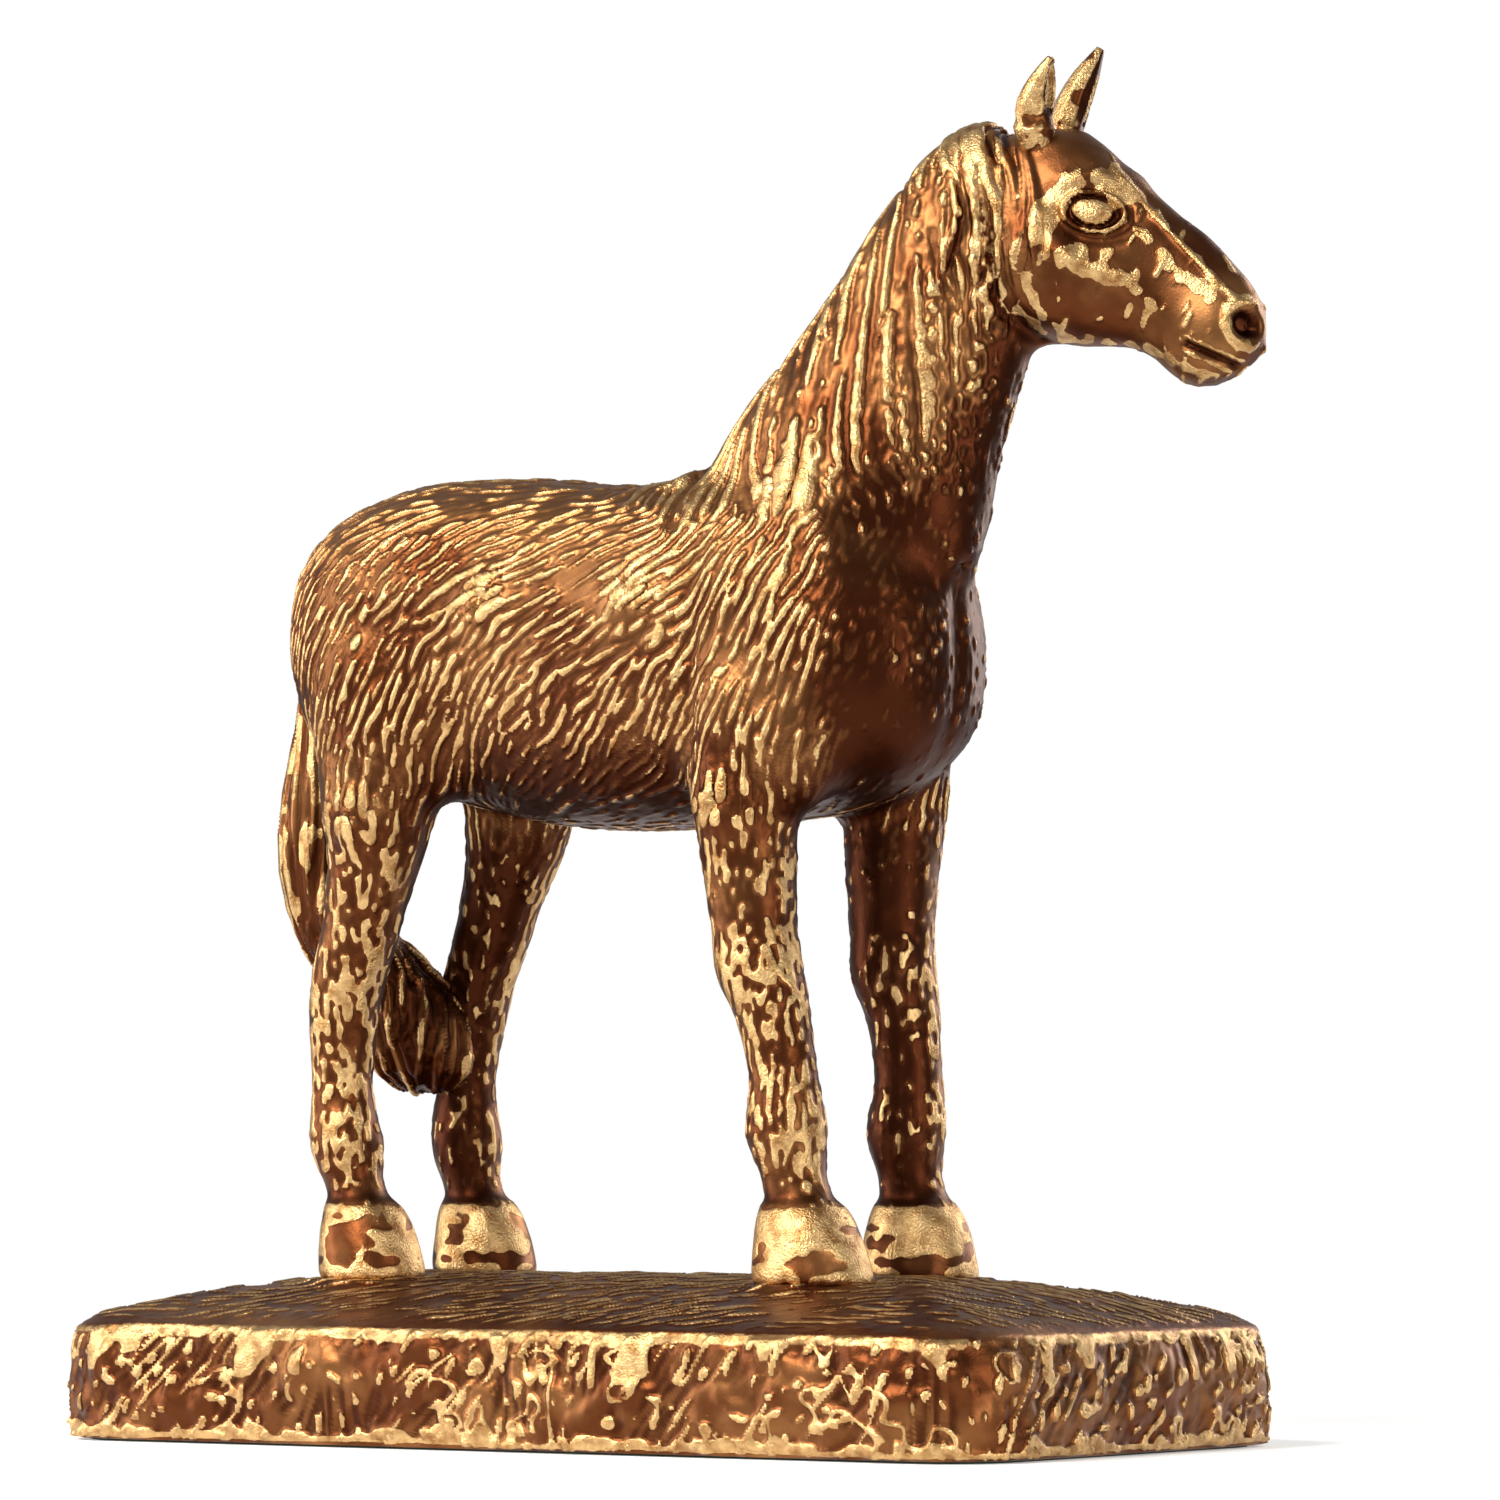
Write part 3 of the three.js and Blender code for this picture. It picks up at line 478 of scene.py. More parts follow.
speckle = noise(points, 3.0, 33, 2)
for side in (-1, 1):
    near = smooth(aside * side, 0.5, 3.0)
    eye = oval(*headLook["eye"])
    socket, lidLine, lid = bell(eye - 1.95, 0.6), bell(eye - 1.12, 0.14), bell(eye - 1.45, 0.16)
    push += near * (-1.2 * socket - 1.0 * lidLine + 1.1 * lid)
    push += near * 1.0 * np.clip(1 - (eye / 1.04) ** 2, 0, 1) ** 0.7
    gold += near * (0.8 * bell(eye - 1.46, 0.14) + 1.3 * (1 - smooth(eye, 0.86, 0.98)))
    dark += near * bell(eye - 1.12, 0.14)
    brow = drawn(headLook["brow"])
    push += near * 0.9 * bell(brow, 1.7)
    gold += near * 1.1 * bell(brow, 2.1)
    gold += near * 0.9 * bell(drawn(headLook["behindEye"]), 2.6)
    gold += near * 0.9 * bell(drawn(headLook["underEye"]), 1.6)
    nostril = oval(*headLook["nostril"])
    push += near * (-2.8 * (1 - smooth(nostril, 0.45, 0.95)) + 0.8 * bell(nostril - 1.3, 0.25))
    gold += near * 1.3 * bell(nostril - 1.4, 0.42)
    dark += near * 1.3 * (1 - smooth(nostril, 0.7, 1.0))
    mouth = drawn(headLook["mouth"])
    push += -1.3 * near * bell(mouth, 0.6)
    dark += near * bell(mouth, 0.6)
    gold += near * 0.9 * bell(mouth - 1.5, 0.6)
    ridge = drawn(headLook["ridge"])
    push += near * 0.6 * bell(ridge, 0.6)
    gold += near * 1.4 * bell(ridge, 0.6)
    gold += near * 0.95 * bell(drawn(headLook["underRidge"]), 1.5)
    bone = drawn(headLook["bone"])
    push += near * 0.9 * bell(bone, 1.8)
    gold += near * 1.15 * bell(bone, 2.2)
    jaw = oval(*headLook["jaw"])
    rear = (1 - smooth(reach, 0, 6)) * (1 - smooth(high, -4, 2))
    push += near * (0.9 * (1 - smooth(jaw, 0.6, 0.95)) - 1.1 * rear * bell(jaw - 1.08, 0.12))
    dark += near * rear * 0.9 * bell(jaw - 1.12, 0.14)
    gold += near * 1.1 * bell(drawn(headLook["jawEdge"]), 1.2)
    gold += near * 0.9 * bell(drawn(headLook["throat"]), 1.3)
gold = gold + 0.45 * speckle * smooth(gold, 0.1, 0.5)
points = points + normal * (push * onHead)[:, None]
gold *= onHead
dark *= onHead
stage("head")


# Which way strokes run over the horse's sides: x, height, degrees from forward to up.
strokeWays = [
    (-52, 92, 80), (-46, 97, 40), (-38, 100, 25), (-20, 101, 20), (0, 98, 20), (10, 99, 30),
    (-50, 75, 78), (-40, 84, 55), (-32, 88, 45), (-20, 86, 38), (-5, 84, 36), (8, 84, 40),
    (-22, 70, 55), (-10, 66, 42), (5, 64, 42), (14, 70, 50), (-38, 68, 70), (-30, 62, 84),
    (-44, 58, 88), (-36, 54, 90), (20, 100, 48), (22, 84, 60), (26, 70, 62), (34, 76, 65),
    (24, 62, 84), (28, 95, 62), (34, 105, 66), (38, 115, 66), (42, 95, 80), (30, 110, 62),
    (-40, 30, 90), (-40, 5, 90), (26, 40, 90), (26, 5, 90),
]


# How far the metal stands up under the gold, in millimetres, and how it differs from place to place.
strokeLook = {
    "height": 0.42, "maneMore": 0.3, "legLess": 0.2, "headLess": 0.22, "hoofLess": 0.15,
    "hollow": 0.15, "groove": 0.35, "softness": 0.25, "wander": 0.13,
}


def strokeWay(u, facing):
    ways = np.array(strokeWays, dtype=float)
    apart = (u[:, None, 0] - ways[None, :, 0]) ** 2 + (u[:, None, 2] - ways[None, :, 1]) ** 2
    share = 1 / (apart + 6) ** 2
    turn = 2 * np.radians(ways[:, 2])
    angle = 0.5 * np.arctan2(share @ np.sin(turn), share @ np.cos(turn))
    way = np.stack([np.cos(angle), np.zeros(len(u)), np.sin(angle)], 1)
    return alongSurface(way, facing)


def alongSurface(way, facing):
    way = way - facing * np.einsum("ij,ij->i", way, facing)[:, None]
    return way / np.maximum(np.linalg.norm(way, axis=1, keepdims=True), 1e-6)


# Where each kind of surface is: legs, hooves, head, sides of the neck, chest, belly and mane.
normal = normalsOf(points, faces)
facing = broad(normal, ring, 8)
u = inUnits(points)
onLegs = 1 - smooth(u[:, 2], 50, 60)
onHoof = 1 - smooth(u[:, 2], 9.0, 9.8)
isHead = smooth(h[:, 0], -5, -1.5) * smooth(u[:, 2], 105, 110)
sides = smooth(np.abs(facing[:, 1]), 0.5, 0.85) * smooth(u[:, 2], 92, 104)
front = (1 - sides) * smooth(u[:, 0], 28, 36) * smooth(facing[:, 0], 0.1, 0.55)
front = front * (1 - isHead) * smooth(u[:, 2], 58, 62)
under = smooth(-facing[:, 2], 0.3, 0.7) * (1 - onLegs) * (1 - isHead)
mane = np.full(len(points), 1e9)
for path, radii in locks:
    low, top = path.min(axis=0) - 5, path.max(axis=0) + 5
    inside = np.flatnonzero(((points > low) & (points < top)).all(axis=1))
    distance, share = pathDistance(points[inside], path)
    mane[inside] = np.minimum(mane[inside], distance - np.interp(share, np.linspace(0, 1, len(radii)), radii))
hang, along = pathDistance(points, crestLine[::8])
onRight = points[:, 1] < np.interp(along, np.linspace(0, 1, 10), crestLine[::8, 1])
dropRight = maneLook["hang"] + maneLook["hangMore"] * np.sin(np.pi * along)
drop = np.where(onRight, dropRight, maneLook["hangLeft"])  # how far the mane hangs from the crest
inMane = 1 - smooth(hang - drop - 5 * noise(points, 9, 71), 0, 6)
inMane = np.maximum(inMane, 1 - smooth(mane, 1.0, 3.5)) * (1 - isHead)

way = strokeWay(u, facing)
sway = 0.35 * noise(points, 13, 6)
hairWay = alongSurface(np.stack([sway - 0.1, 0 * sway, np.ones(len(points))], 1), facing)
way = alongSurface(way * (1 - inMane)[:, None] + hairWay * inMane[:, None], facing)
wander = strokeLook["wander"] * noise(points, 9, 7)
way = way * np.cos(wander)[:, None] + np.cross(facing, way) * np.sin(wander)[:, None]
both = chains(points, way)
stage("directions")

source = grain(points, ring, 1.3, 1)
short = streaks(source, both, 3)
middling = streaks(source, both, 5)
long = spread(streaks(grain(points, ring, 1.9, 1), both, 20), ring, 3) * 1.15
specks = streaks(grain(points, ring, 1.5, 8), both, 1)
blotchy = streaks(grain(points, ring, 2.6, 2), both, 2)
stage("streaks")

# Strokes stand up and are gold where they are over the level: the lower the level, the more gold.
goldLevel = {
    "body": 0.5, "chest": 0.72, "belly": 0.6, "clean": 0.8, "maneLess": 0.2,
    "legs": 0.28, "insideLegs": 0.55, "hocksLess": 0.35, "head": 1.2, "forehead": 0.5,
    "hooves": -0.45, "coronet": 1.6, "fetlock": 0.5, "back": 0.5, "patches": 0.45,
}
mix = 0.5 + 0.5 * noise(points, 16, 19)
strokes = short * (1 - mix) + middling * mix + 0.25 * specks
strokes = strokes * (1 - inMane) + (long + 0.2 * specks) * inMane
grainy = 0.3 * short + 0.65 * specks + 0.45 * blotchy + 0.7 * noise(points * [1, 1, 0.6], 5, 61, 2)
strokes = strokes * (1 - onLegs) + grainy * onLegs * (1 - onHoof)
strokes += (0.5 * noise(points, 4.5, 41, 2) + 0.35 * noise(points * [1, 1, 2.5], 6, 42, 2)) * 2 * onHoof
headStrokes = 0.5 * blotchy + 0.35 * short + 0.35 * specks + 0.5 * noise(points, 5, 35, 2)
strokes = strokes * (1 - isHead) + headStrokes * isHead
strokes = strokes * (1 - front) + (0.62 * specks + 0.8 * noise(points, 7, 27, 3)) * front
patchy = noise(points, 17, 23, 2)
clean = smooth(noise(points, 13, 63), 0.3, 0.7)
level = goldLevel["body"] - goldLevel["patches"] * patchy
level = level + goldLevel["chest"] * front + goldLevel["belly"] * under
level = level + goldLevel["clean"] * clean * (1 - inMane) - goldLevel["maneLess"] * inMane
# Painted shade: the inner sides of the legs, turned away from the lamps and seen between the legs, get less
# gold and more dark.
inner = smooth(-facing[:, 1] * np.sign(u[:, 1]), -0.1, 0.5)
hock = bell(u[:, 2] - 36, 5)
legLevel = goldLevel["legs"] - 0.5 * patchy + goldLevel["insideLegs"] * inner - goldLevel["hocksLess"] * hock
level = level * (1 - onLegs) + legLevel * onLegs
headLevel = goldLevel["head"] + goldLevel["forehead"] * smooth(h[:, 2], 6, 14)
level = level * (1 - isHead) + headLevel * isHead
hoofLevel = goldLevel["hooves"] + 0.9 * bell(u[:, 2] - 2.4, 0.8)
hoofLevel = hoofLevel + 0.4 * bell(u[:, 2] - 6.4, 0.6) + 0.3 * bell(u[:, 2], 0.7)
level = level * (1 - onHoof) + hoofLevel * onHoof
coronet = bell(u[:, 2] - 10.4, 0.9)
fetlock = bell(u[:, 2] - 12.8, 0.8)
onBack = goldLevel["back"] * smooth(facing[:, 2], 0.6, 0.95) * (1 - onLegs) * (1 - isHead) * (1 - inMane)
level += goldLevel["coronet"] * coronet + goldLevel["fetlock"] * fetlock + onBack
softness = strokeLook["softness"]
raised = spread(smooth(strokes, level - softness, level + softness), ring, 1)
gold = np.maximum(raised, smooth(gold + 0.25 * blotchy * isHead, 0.45, 0.75) * isHead)
lockTops = inMane * (1 - smooth(mane, -0.4, 0.4)) * smooth(noise(points, 7, 4, 2), -0.3, 0.2)
gold = np.maximum(gold, lockTops)
hollow = smooth(level - strokes, 0.25, 1.3) * (1 - isHead) * (1 - onHoof) * (1 + 0.5 * inMane)
# Dark is patina in the hollows between strokes and in the coronet groove, plus painted shade on the chest
# front, on the inner sides of the legs, under the belly and wherever the surface faces down. The head is a
# little darker all over.
dark = dark + 0.35 * isHead + 0.4 * hollow + 0.5 * coronet + 0.4 * front + 0.6 * inner * onLegs
dark = dark + 0.3 * under + 0.4 * smooth(-facing[:, 2], -0.6, 0.5) * (1 - isHead)
dark = np.clip(dark, 0, 1)
deep = strokeLook["height"] + strokeLook["maneMore"] * inMane - strokeLook["legLess"] * onLegs
deep = deep - strokeLook["headLess"] * isHead - strokeLook["hoofLess"] * onHoof
height = deep * raised - strokeLook["hollow"] * hollow * (1 - onLegs)
height = height + 0.14 * noise(points, 5, 2, 2) - strokeLook["groove"] * coronet
points = points + normal * height[:, None]
gold = np.clip(gold * (1 - 0.8 * np.clip(dark - 0.4, 0, 1)), 0, 1)
# Painted light: surfaces that face up are made more copper, as if lit from above. The clean patches and the
# mane get a little copper of their own.
warm = smooth(facing[:, 2], 0.1, 0.8) * (1 - front) * (1 - isHead)
warm = warm + 0.6 * clean * (1 - front) * (1 - onLegs) + 0.1 * inMane
warm = np.clip(warm, 0, 1)
stage("strokes")

# Over the ends of pins and plugs the metal is chased flush, so the skin covers them.
coverLook = {"skin": 0.45, "deepest": 3, "width": 5, "around": 12}
normal = normalsOf(points, faces)
cover = np.zeros(len(points))
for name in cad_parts:
    if "pin" not in name and "plug" not in name:
        continue
    tips, _ = castShape(name)
    low, top = tips.min(axis=0), tips.max(axis=0)
    inside = np.flatnonzero(((points > low - 3) & (points < top + 3)).all(axis=1))
    away = tips[None] - points[inside][:, None]
    outward = np.einsum("ijk,ik->ij", away, normal[inside])
    lateral = np.linalg.norm(away - outward[..., None] * normal[inside][:, None], axis=2)
    need = np.where(lateral < 1.5, outward, -9).max(axis=1) + coverLook["skin"]
    need = np.clip(need, 0, coverLook["deepest"])
    cover[inside] = np.maximum(cover[inside], need)
    crowded = np.flatnonzero(need > 0)
    crowded = crowded[:: max(1, len(crowded) // 80)]
    around = coverLook["around"]
    near = np.flatnonzero(((points > low - around) & (points < top + around)).all(axis=1))
    for k in crowded:
        apart = np.linalg.norm(points[near] - points[inside[k]], axis=1)
        cover[near] = np.maximum(cover[near], 0.9 * need[k] * bell(apart, coverLook["width"]))
points = points + normal * cover[:, None]


# The skin is cut into the castings where they meet, and every casting is a closed piece.
def camel(node):
    first, *rest = node.split("_")
    return first + "".join(word.capitalize() for word in rest) + "Casting"


def makePiece(name, points, faces, marks):
    mesh = bpy.data.meshes.new(name)
    mesh.vertices.add(len(points))
    mesh.vertices.foreach_set("co", (points * mm).ravel())
    mesh.loops.add(faces.size)
    mesh.loops.foreach_set("vertex_index", faces.ravel())
    mesh.polygons.add(len(faces))
    mesh.polygons.foreach_set("loop_start", np.arange(len(faces)) * faces.shape[1])
    mesh.polygons.foreach_set("use_smooth", np.ones(len(faces), dtype=bool))
    mesh.update(calc_edges=True)
    for mark, values in marks.items():
        layer = mesh.attributes.new(mark, "FLOAT", "POINT")
        layer.data.foreach_set("value", values.astype(np.float32))
    piece = bpy.data.objects.new(name, mesh)
    bpy.context.scene.collection.objects.link(piece)
    return piece


def part(chosen, faces):  # the faces whose points are all chosen
    inside = faces[chosen[faces].all(axis=1)]
    used = np.zeros(len(chosen), dtype=bool)
    used[inside] = True
    number = np.cumsum(used) - 1
    return used, number[inside]


def cutPiece(name, chosen, cuts):
    used, inside = part(chosen, faces)
    piece = makePiece(name, points[used], inside, {mark: value[used] for mark, value in marks.items()})
    bm = bmesh.new()
    bm.from_mesh(piece.data)
    for spot, away in cuts:
        result = bmesh.ops.bisect_plane(
            bm,
            geom=bm.verts[:] + bm.edges[:] + bm.faces[:],
            plane_co=Vector(spot) * mm,
            plane_no=Vector(away),
            clear_outer=True,
        )
        rim = [e for e in result["geom_cut"] if isinstance(e, bmesh.types.BMEdge)]
        for edge in rim:
            edge.smooth = False
        lids = bmesh.ops.holes_fill(bm, edges=rim, sides=0)["faces"]
        bmesh.ops.triangulate(bm, faces=lids)
    bm.to_mesh(piece.data)
    bm.free()
    piece.data.validate()
    return piece


marks = {"gold": gold, "dark": dark, "warm": warm}
legTop = np.array([0, 0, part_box("torso")[0][2] / mm])
neckLow, neckHigh = onHorse(24.8, 0, 94), onHorse(32.6, 1, 108.5)
neckRoot = neckLow + 0.27 * (neckHigh - neckLow)
neckWay = (neckHigh - neckLow) / np.linalg.norm(neckHigh - neckLow)
x, y, z = points.T
margin = 2.5
overNeck = (points - neckRoot) @ neckWay
isNeck = overNeck > -margin
pieces = {
    "torso": cutPiece(
        "torsoCasting",
        (z > legTop[2] - margin) & (overNeck < margin),
        [(legTop, (0, 0, -1)), (neckRoot, neckWay)],
    ),
    "head_and_neck": cutPiece("headAndNeckCasting", isNeck, [(neckRoot, -neckWay)]),
}
low = z < legTop[2] + margin
for node, fore, side in (
    ("right_foreleg", 1, -1), ("left_foreleg", 1, 1), ("right_hind_leg", -1, -1), ("left_hind_leg", -1, 1),
):
    pieces[node] = cutPiece(camel(node), low & (x * fore > 0) & (y * side > 0), [(legTop, (0, 0, 1))])
stage("castings cut apart")


# The tail: long locks that end in a rough block between the hocks.
tailLook = {"smoothing": 30, "lockLength": 16, "lockHeight": 0.75, "blockHeight": 0.8, "level": 0.25}
tailLow = np.array(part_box("tail")[0]) / mm
points, faces = remesh(*castShape("tail"), skinLook["fine"], 0.0)
ring = ringOf(points, faces)
points = relaxed(points, ring, tailLook["smoothing"], 0.5)
normal = normalsOf(points, faces)
facing = broad(normal, ring, 8)
sway = 0.3 * noise(points, 15, 6)
way = alongSurface(np.stack([0.1 + sway, -sway, np.ones(len(points))], 1), facing)
both = chains(points, way)
long = streaks(grain(points, ring, 1.9, 3), both, tailLook["lockLength"])
blotchy = streaks(grain(points, ring, 2.8, 4), both, 3)
lowerTail = 1 - smooth(points[:, 2], tailLow[2] + 28, tailLow[2] + 45)
raised = smooth(long, -0.2, 0.5)
level = tailLook["level"] + 0.8 * lowerTail
gold = smooth(0.7 * long + 0.6 * blotchy, level - 0.25, level + 0.25)
height = tailLook["lockHeight"] * raised + tailLook["blockHeight"] * lowerTail * smooth(blotchy, -0.5, 1)
points = points + normal * height[:, None]
dark = np.clip((1 - raised) * 0.5 + 0.4 * lowerTail, 0, 1)
pieces["tail"] = makePiece(camel("tail"), points, faces, {"gold": gold, "dark": dark, "warm": 0.4 * raised})
stage("tail")

# The ears: each is widened at its foot by a short tube, whose path is given for the left ear.
earLook = {
    "voxel": 0.32, "grow": 0.12, "smoothing": 16, "goldHeight": 0.16,
    "path": [(0, -5, -8), (0, -2.5, -3), (0.3, -0.4, 1), (0.8, 0, 5)], "radii": (2.2, 3.6, 4.1, 3.3),
}
for node, side, root in (("ear_right", -1, earRoots[0]), ("ear_left", 1, earRoots[1])):
    flare = np.array([fromHead(*(root + np.array(step) * [1, side, 1])) for step in earLook["path"]])
    shape = together(castShape(node), tube(flare, np.array(earLook["radii"]), 24))
    points, faces = remesh(*shape, earLook["voxel"], earLook["grow"])
    ring = ringOf(points, faces)
    points = relaxed(points, ring, earLook["smoothing"], 0.5)
    facing = broad(normalsOf(points, faces), ring, 3)
    spots = smooth(noise(points * [1, 1, 0.6], 2.6, 4 + side, 2), 0.35, 0.5)
    lowEar = 1 - smooth(points[:, 2], points[:, 2].min() + 7, points[:, 2].min() + 13)
    patches = smooth(noise(points, 3.0, 9 + side, 2), -0.1, 0.2)
    gold = (1 - spots) * (1 - lowEar) + lowEar * patches * 0.9
    inner = smooth(facing @ headWays[0], 0.72, 0.9) * (1 - lowEar)
    gold *= 1 - inner
    points = points + facing * (earLook["goldHeight"] * gold)[:, None]
    pieces[node] = makePiece(camel(node), points, faces, {"gold": gold, "dark": inner, "warm": 0 * gold})
stage("ears")

# The base: brushed on top, and gouged, dripped and banded on its sides.
baseLook = {
    "voxel": 0.6, "sideHeight": 25.6, "corner": 20, "smoothing": 110, "topHeight": 0.4, "gougeHeight": 0.7,
    "crestHeight": 0.6, "bandHeight": 0.45, "sideRough": 1.0, "sideSink": 0.65, "topRough": 0.35,
}
baseLow, baseHigh = (np.array(end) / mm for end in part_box("base"))
corner = baseLook["corner"]
points, faces = remesh(*castShape("base"), baseLook["voxel"], 0.0)
ring = ringOf(points, faces)
edgeHeight = baseLow[2] + baseLook["sideHeight"]  # where the sides end and the top begins
points = relaxed(points, ring, baseLook["smoothing"], bell(points[:, 2] - edgeHeight, 6)[:, None], keep=0)
normal = normalsOf(points, faces)
x, y, z = points.T
halfX, halfY = baseHigh[0], baseHigh[1]
onTop = smooth(normal[:, 2], 0.55, 0.85) * smooth(z, edgeHeight - 1, edgeHeight + 1)
overX, overY = np.maximum(np.abs(x) - halfX + corner, 0), np.maximum(np.abs(y) - halfY + corner, 0)
fromCorner = np.hypot(overX, overY)
onSide = smooth(fromCorner, corner - 4.5, corner - 3.5)
onSide = onSide * (1 - smooth(normal[:, 2], 0.5, 0.8)) * smooth(z, 0.7, 1.3)
facing = broad(normal, ring, 8)
lean = np.radians(66 + 26 * noise(points, 24, 5))
run = np.cross([0.0, 0.0, 1.0], facing)
run /= np.maximum(np.linalg.norm(run, axis=1, keepdims=True), 1e-6)
sideWay = alongSurface(run * np.cos(lean)[:, None] + np.array([0, 0, 1.0]) * np.sin(lean)[:, None], facing)
swirl = 0.45 + 0.6 * noise(points, 40, 8)
topWay = alongSurface(np.stack([np.cos(swirl), np.sin(swirl), 0 * x], 1), facing)
way = np.where((onTop > 0.5)[:, None], topWay, sideWay)
both = chains(points, way, 1.0)
tilt = np.linalg.qr([[0.8, 0.5, 0.3], [-0.4, 0.9, 0.2], [-0.3, -0.2, 0.9]])[0]
tilted = points @ tilt
source = grain(tilted, ring, 1.5, 5)
short = streaks(source, both, 4)
scored = streaks(source, both, 9)
blobs = streaks(grain(tilted, ring, 2.3, 6), both, 1)
loops = noise(points, 7, 9, 2)
rough = noise(points, 9, 16, 3)
topRaised = smooth(short + 0.5 * noise(points, 20, 51), 0.55, 1.05) * onTop
scratch = smooth(scored, 1.25, 1.65) * smooth(noise(points, 22, 25), -0.6, 0.0)
blob = smooth(blobs + 0.5 * noise(points, 14, 91), 1.1, 1.5)
loop = bell(loops - 0.38, 0.11) * smooth(noise(points, 18, 26) + 0.003 * x, -0.3, 0.0)
rimLine = edgeHeight - 1.4 + 1.0 * noise(points, 12, 12, 2)
fromEdge = np.hypot(fromCorner - corner + 1.2, z - rimLine)
crest = bell(fromEdge, 2.3) * smooth(z, 3, 6)
rimRun = onSide * smooth(z, edgeHeight - 2.2, edgeHeight - 1.0)
bandTop = 3.4 + 3.0 * np.clip(noise(points * [1, 1, 0.3], 6, 13, 2), -0.4, 1)
band = onSide * (1 - smooth(z - bandTop, -0.5, 0.5))
dripEnd = smooth(z + 5 * noise(points, 8, 17), edgeHeight - 11, edgeHeight - 6)
drip = onSide * smooth(noise(points * [1, 1, 0.22], 5.0, 15, 2), 0.2, 0.35) * dripEnd
gouges = onSide * np.maximum.reduce([scratch, blob, 0.9 * loop, drip])
gold = np.clip(np.maximum.reduce([topRaised, gouges, crest, rimRun, 0.75 * band]), 0, 1)
height = baseLook["topHeight"] * topRaised + baseLook["gougeHeight"] * gouges
height = height + baseLook["crestHeight"] * crest + baseLook["bandHeight"] * band
onSides = onSide * (baseLook["sideRough"] * rough - baseLook["sideSink"])
height += onSides + onTop * baseLook["topRough"] * rough
topHollow = smooth(0.2 - short, 0, 1)
gougeEdge = smooth(0.9 - scored, 0.2, 1.5) * smooth(rough, 0.3, -0.4)
points = points + normal * height[:, None]
dark = np.clip(topHollow * onTop * 0.35 + (0.2 + 0.7 * gougeEdge) * onSide, 0, 1)
warm = 0.2 * onSide * smooth(noise(points, 15, 81, 2), 0, 0.6)
pieces["base"] = makePiece(camel("base"), points, faces, {"gold": gold, "dark": dark, "warm": warm})
stage("base")


def newMaterial(name):
    material = bpy.data.materials.new(name)
    material.use_nodes = True
    tree = material.node_tree
    shader = tree.nodes["Principled BSDF"]
    return material, tree, shader


def add(tree, kind, **settings):
    node = tree.nodes.new(kind)
    for name, value in settings.items():
        setattr(node, name, value)
    return node


def ramp(tree, source, stops):
    node = add(tree, "ShaderNodeValToRGB")
    bar = node.color_ramp
    while len(bar.elements) < len(stops):
        bar.elements.new(0.5)
    for element, (place, color) in zip(bar.elements, stops):
        element.position = place
        element.color = (*color, 1)
    tree.links.new(source, node.inputs["Fac"])
    return node.outputs["Color"]


def noiseOf(tree, scale, detail):
    place = add(tree, "ShaderNodeTexCoord").outputs["Object"]
    node = add(tree, "ShaderNodeTexNoise")
    node.inputs["Scale"].default_value = scale
    node.inputs["Detail"].default_value = detail
    tree.links.new(place, node.inputs["Vector"])
    return node.outputs["Fac"]


def mathNode(tree, kind, a, b):
    node = add(tree, "ShaderNodeMath", operation=kind)
    for place, value in enumerate((a, b)):
        if isinstance(value, (int, float)):
            node.inputs[place].default_value = value
        else:
            tree.links.new(value, node.inputs[place])
    return node.outputs[0]


def mixColor(tree, factor, a, b):
    node = add(tree, "ShaderNodeMix", data_type="RGBA")
    for place, value in (("Factor", factor), ("A", a), ("B", b)):
        target = [s for s in node.inputs if s.name == place and s.enabled][0]
        if isinstance(value, tuple):
            target.default_value = (*value, 1)
        elif isinstance(value, (int, float)):
            target.default_value = value
        else:
            tree.links.new(value, target)
    return [s for s in node.outputs if s.enabled][0]


# From the hollows to the rubbed heights. Deep brown also serves as painted shade, and Copper as painted light
# on surfaces that face up.
bronzeLook = {
    "Deep brown": (0.05, 0.013, 0.005),
    "Brown": (0.135, 0.041, 0.013),
    "Copper": (0.38, 0.17, 0.06),
    "Old gold": (0.33, 0.165, 0.055),
    "Gold": (0.66, 0.43, 0.19),
}


bronzeGrain = {"strength": 0.85, "distance": 0.00026}


